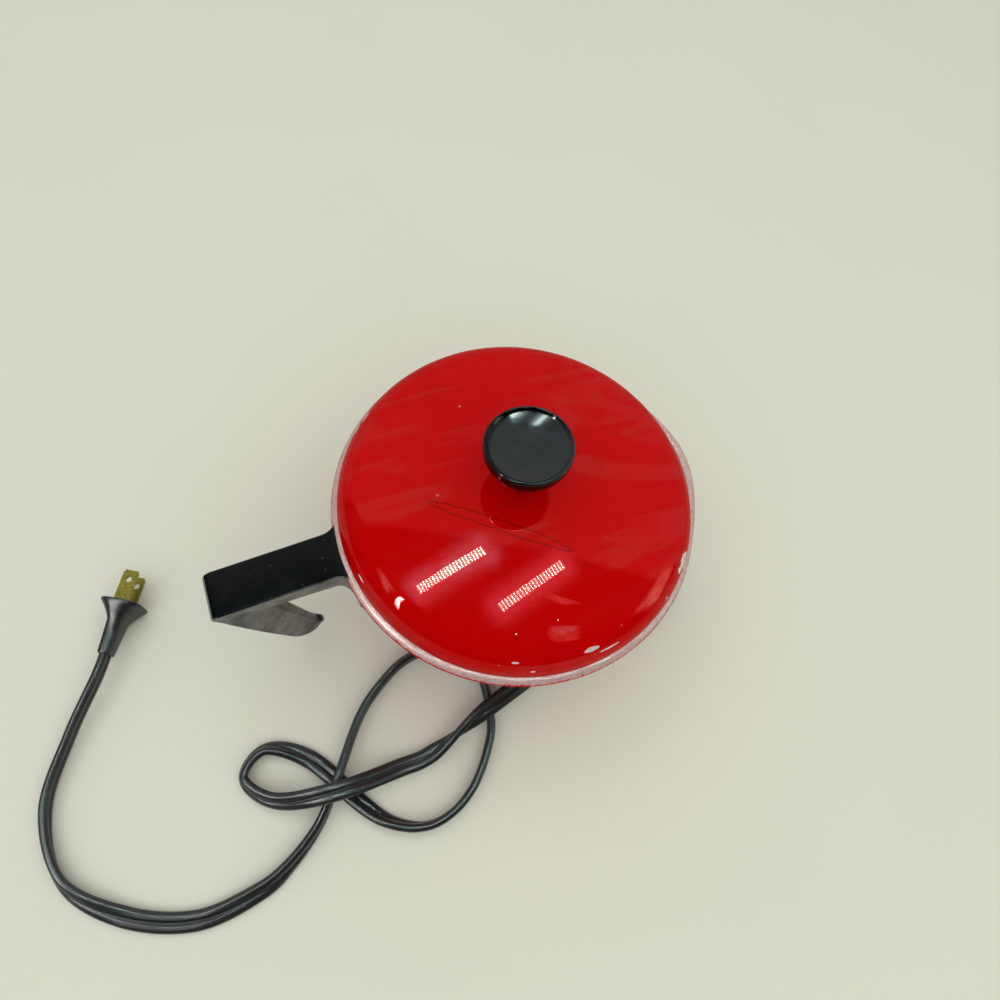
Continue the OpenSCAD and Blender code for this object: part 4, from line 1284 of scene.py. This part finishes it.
    def strip(self, name: str, ends: Tuple[Point3, Point3]) -> None:
        """Hangs a strip lamp whose rows of diodes show in the lid's gloss.

        Args:
            name: The lamp's name.
            ends: The middles of its two short sides, in metres.
        """
        first, last = Vector(ends[0]), Vector(ends[1])
        run, width, glow = last - first, self.strip_width, self.glow
        length = run.length
        side = run.cross(Vector((0, 0, 1))).normalized() * (width / 2 + glow)
        ahead = run.normalized() * glow
        graph, spot = self.card(name, [first - ahead - side, last + ahead - side,
                                       last + ahead + side, first - ahead + side])
        along, over, _ = graph.parts(spot)
        x = along * (length + 2 * glow) - glow
        y = abs((over - 0.5) * (width + 2 * glow))
        past = (abs(x - length / 2) - length / 2).most(0.0)
        beside = (y - width / 2).most(0.0)
        far = graph.math("SQRT", past * past + beside * beside)
        rung, split = (abs(graph.math("FRACT", value) - 0.5)
                       for value in (x * (self.rungs / length), y * (self.rows / width)))
        diode = rung.ramp(0.18, 0.08) * split.ramp(0.5, 0.36, 0.5, 1.0)
        core = far.under(0.0005)
        light = graph.mix(core, self.glow_colour,
                          graph.mix(diode, self.gap_colour, self.diode_colour))
        self.shine(graph, light, core.most(far.ramp(glow, 0.0) ** 2.0))

    def patch(self, lamp: Patch) -> None:
        """Hangs a soft-edged lamp.

        Args:
            lamp: What it is like.
        """
        graph, spot = self.card(lamp.name, lamp.corners)
        wide, high = (value.ramp(0.0, lamp.soft) * value.ramp(1.0, 1.0 - lamp.soft)
                      for value in graph.parts(spot)[:2])
        streak = graph.noise(spot, 4.0, 4.0, 0.6).ramp(0.3, 0.65, 0.35, 1.0)
        self.shine(graph, lamp.colour, wide * high * streak)

    def lamps(self) -> None:
        """Hangs the two strips, the patches and the soft key above the table."""
        self.strip("strip_left", ((-0.472, 0.069, 1.5), (-0.006, 0.163, 1.5)))
        self.strip("strip_right", ((-0.030, -0.203, 1.5), (0.437, -0.062, 1.5)))
        for lamp in self.patches:
            self.patch(lamp)
        data = bpy.data.lights.new("soft_key", "AREA")
        data.shape = "RECTANGLE"
        data.size = data.size_y = self.key_size
        data.energy = self.key_power
        data.color = self.key_colour
        key = Bench.hang("soft_key", data)
        key.location = self.key_at
        aim = Vector((0.0, 0.0, 0.05)) - key.location
        key.rotation_euler = aim.to_track_quat("-Z", "Y").to_euler()
        key.visible_glossy = False

    def build(self, effects: SharedEffects) -> None:
        """Sets the whole stage.

        Args:
            effects: The shared node groups.
        """
        bpy.context.scene.view_settings.view_transform = "Standard"
        self.camera()
        self.floor(effects)
        self.world()
        self.lamps()
        LOG.info("stage: camera, floor, world and lamps")


# ------------------------------------------------------------------- wardrobe

NODES_BY_FINISH: Dict[str, Tuple[str, ...]] = {
    "vessel_enamel": ("pot_shell",), "lid_enamel": ("lid_shell",),
    "knob_phenolic": ("knob",), "handle_phenolic": ("handle",),
    "base_phenolic": ("base_housing",), "seal_silicone": ("base_seal",),
    "ceramic": ("element_bushes", "thermostat"), "sheath_steel": ("heating_element",),
    "bare_aluminium": ("bracket_rivets", "heat_spreader", "thermal_fuse"),
    "plated_steel": ("knob_screw", "knob_washer", "handle_bracket", "handle_screw",
                     "handle_washer", "bottom_cover", "cover_nut", "centre_stud",
                     "clamp_nut", "element_clamp", "thermostat_clip"),
    "wire_sleeve_black": ("live_wire", "neutral_wire"),
    "wire_sleeve_red": ("fuse_wire", "switched_wire"),
    "blade_brass": ("crimp_terminals", "plug_blades"),
    "cord_rubber": ("strain_relief", "cord", "plug_body")}

# Chips in the lid's enamel, and three painted highlights drawn as bare metal: the pair at -87.4
# and -81.5 degrees paint a pale highlight on the front shoulder, and the one at -167.4 paints a
# pinkish highlight at the left edge.
LID_CHIPS_AND_PAINTED_HIGHLIGHTS = (ChipOrPaintedHighlight(-41.6, 4.3, 3.0, 80.6, 115.3), ChipOrPaintedHighlight(-45.4, 1.8, 1.6, 80.2, 115.9),
             ChipOrPaintedHighlight(139.0, 2.7, 0.75, 81.0, 114.8), ChipOrPaintedHighlight(134.4, 3.0, 0.5, 79.9, 116.6),
             ChipOrPaintedHighlight(-87.4, 3.4, 1.1, 78.1, 118.7), ChipOrPaintedHighlight(-81.5, 5.0, 0.45, 80.2, 116.2),
             ChipOrPaintedHighlight(-167.4, 2.2, 0.55, 80.9, 115.1), ChipOrPaintedHighlight(-111.7, 1.5, 0.5, 78.6, 118.2),
             ChipOrPaintedHighlight(-106.0, 1.0, 0.5, 81.4, 114.0), ChipOrPaintedHighlight(-55.7, 0.8, 0.5, 81.1, 114.6),
             ChipOrPaintedHighlight(-112.1, 0.3, 0.3, 67.7, 123.1), ChipOrPaintedHighlight(-96.3, 0.28, 0.28, 63.3, 124.1))


def wardrobe(effects: SharedEffects) -> Dict[str, bpy.types.Material]:
    """Makes every finish that the pot needs.

    Args:
        effects: The shared node groups.

    Returns:
        The materials by their finishes' names.
    """
    finishes = (
        Enamel("lid_enamel", effects, chips_and_painted_highlights=LID_CHIPS_AND_PAINTED_HIGHLIGHTS, scratched=True),
        VesselEnamel("vessel_enamel", effects),
        KnobPhenolic("knob_phenolic", effects),
        HandlePhenolic("handle_phenolic", effects),
        Moulded("base_phenolic", effects, (0.010, 0.010, 0.011), (0.2, 0.2, 0.19), 0.38, 0.12,
                dust_share=0.04),
        Moulded("cord_rubber", effects, (0.010, 0.011, 0.011), (0.14, 0.14, 0.13), 0.34, 0.14,
                1600.0, dust_share=0.03, dust_scale=1400.0),
        Moulded("seal_silicone", effects, (0.42, 0.1, 0.07), (0.6, 0.55, 0.5), 0.5, 0.1),
        Moulded("ceramic", effects, (0.78, 0.75, 0.66), (0.5, 0.46, 0.4), 0.55, 0.12),
        Moulded("wire_sleeve_black", effects, (0.015, 0.015, 0.015), (0.2, 0.2, 0.2), 0.5, 0.1),
        Moulded("wire_sleeve_red", effects, (0.34, 0.02, 0.02), (0.5, 0.3, 0.3), 0.5, 0.1),
        Metal("bare_aluminium", effects, (0.72, 0.72, 0.72), (0.5, 0.5, 0.49), 0.34, spun=True),
        Metal("plated_steel", effects, (0.58, 0.58, 0.57), (0.42, 0.4, 0.36), 0.3),
        Metal("sheath_steel", effects, (0.24, 0.22, 0.2), (0.14, 0.1, 0.08), 0.42),
        Metal("blade_brass", effects, (0.27, 0.215, 0.04), (0.16, 0.12, 0.025), 0.28,
              pitting=0.12))
    return {finish.name: finish.make() for finish in finishes}


def main() -> None:
    """Builds the stage, the cord, the finer pieces and the finishes."""
    logging.basicConfig(level=logging.INFO, format="%(name)s %(message)s")
    effects = SharedEffects()
    materials = wardrobe(effects)
    Studio().build(effects)
    plug = Plug(materials["cord_rubber"]).build()
    Cord(materials["cord_rubber"]).build(plug)
    Vessel(materials["vessel_enamel"]).build()
    lid = Lid(materials["lid_enamel"], materials["knob_phenolic"])
    lid.shell()
    lid.knob()
    for finish, nodes in NODES_BY_FINISH.items():
        for name in nodes:
            Bench.dress(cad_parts[name], materials[finish])
            LOG.info("%s: %s", name, finish)


if __name__ == "__main__":
    main()
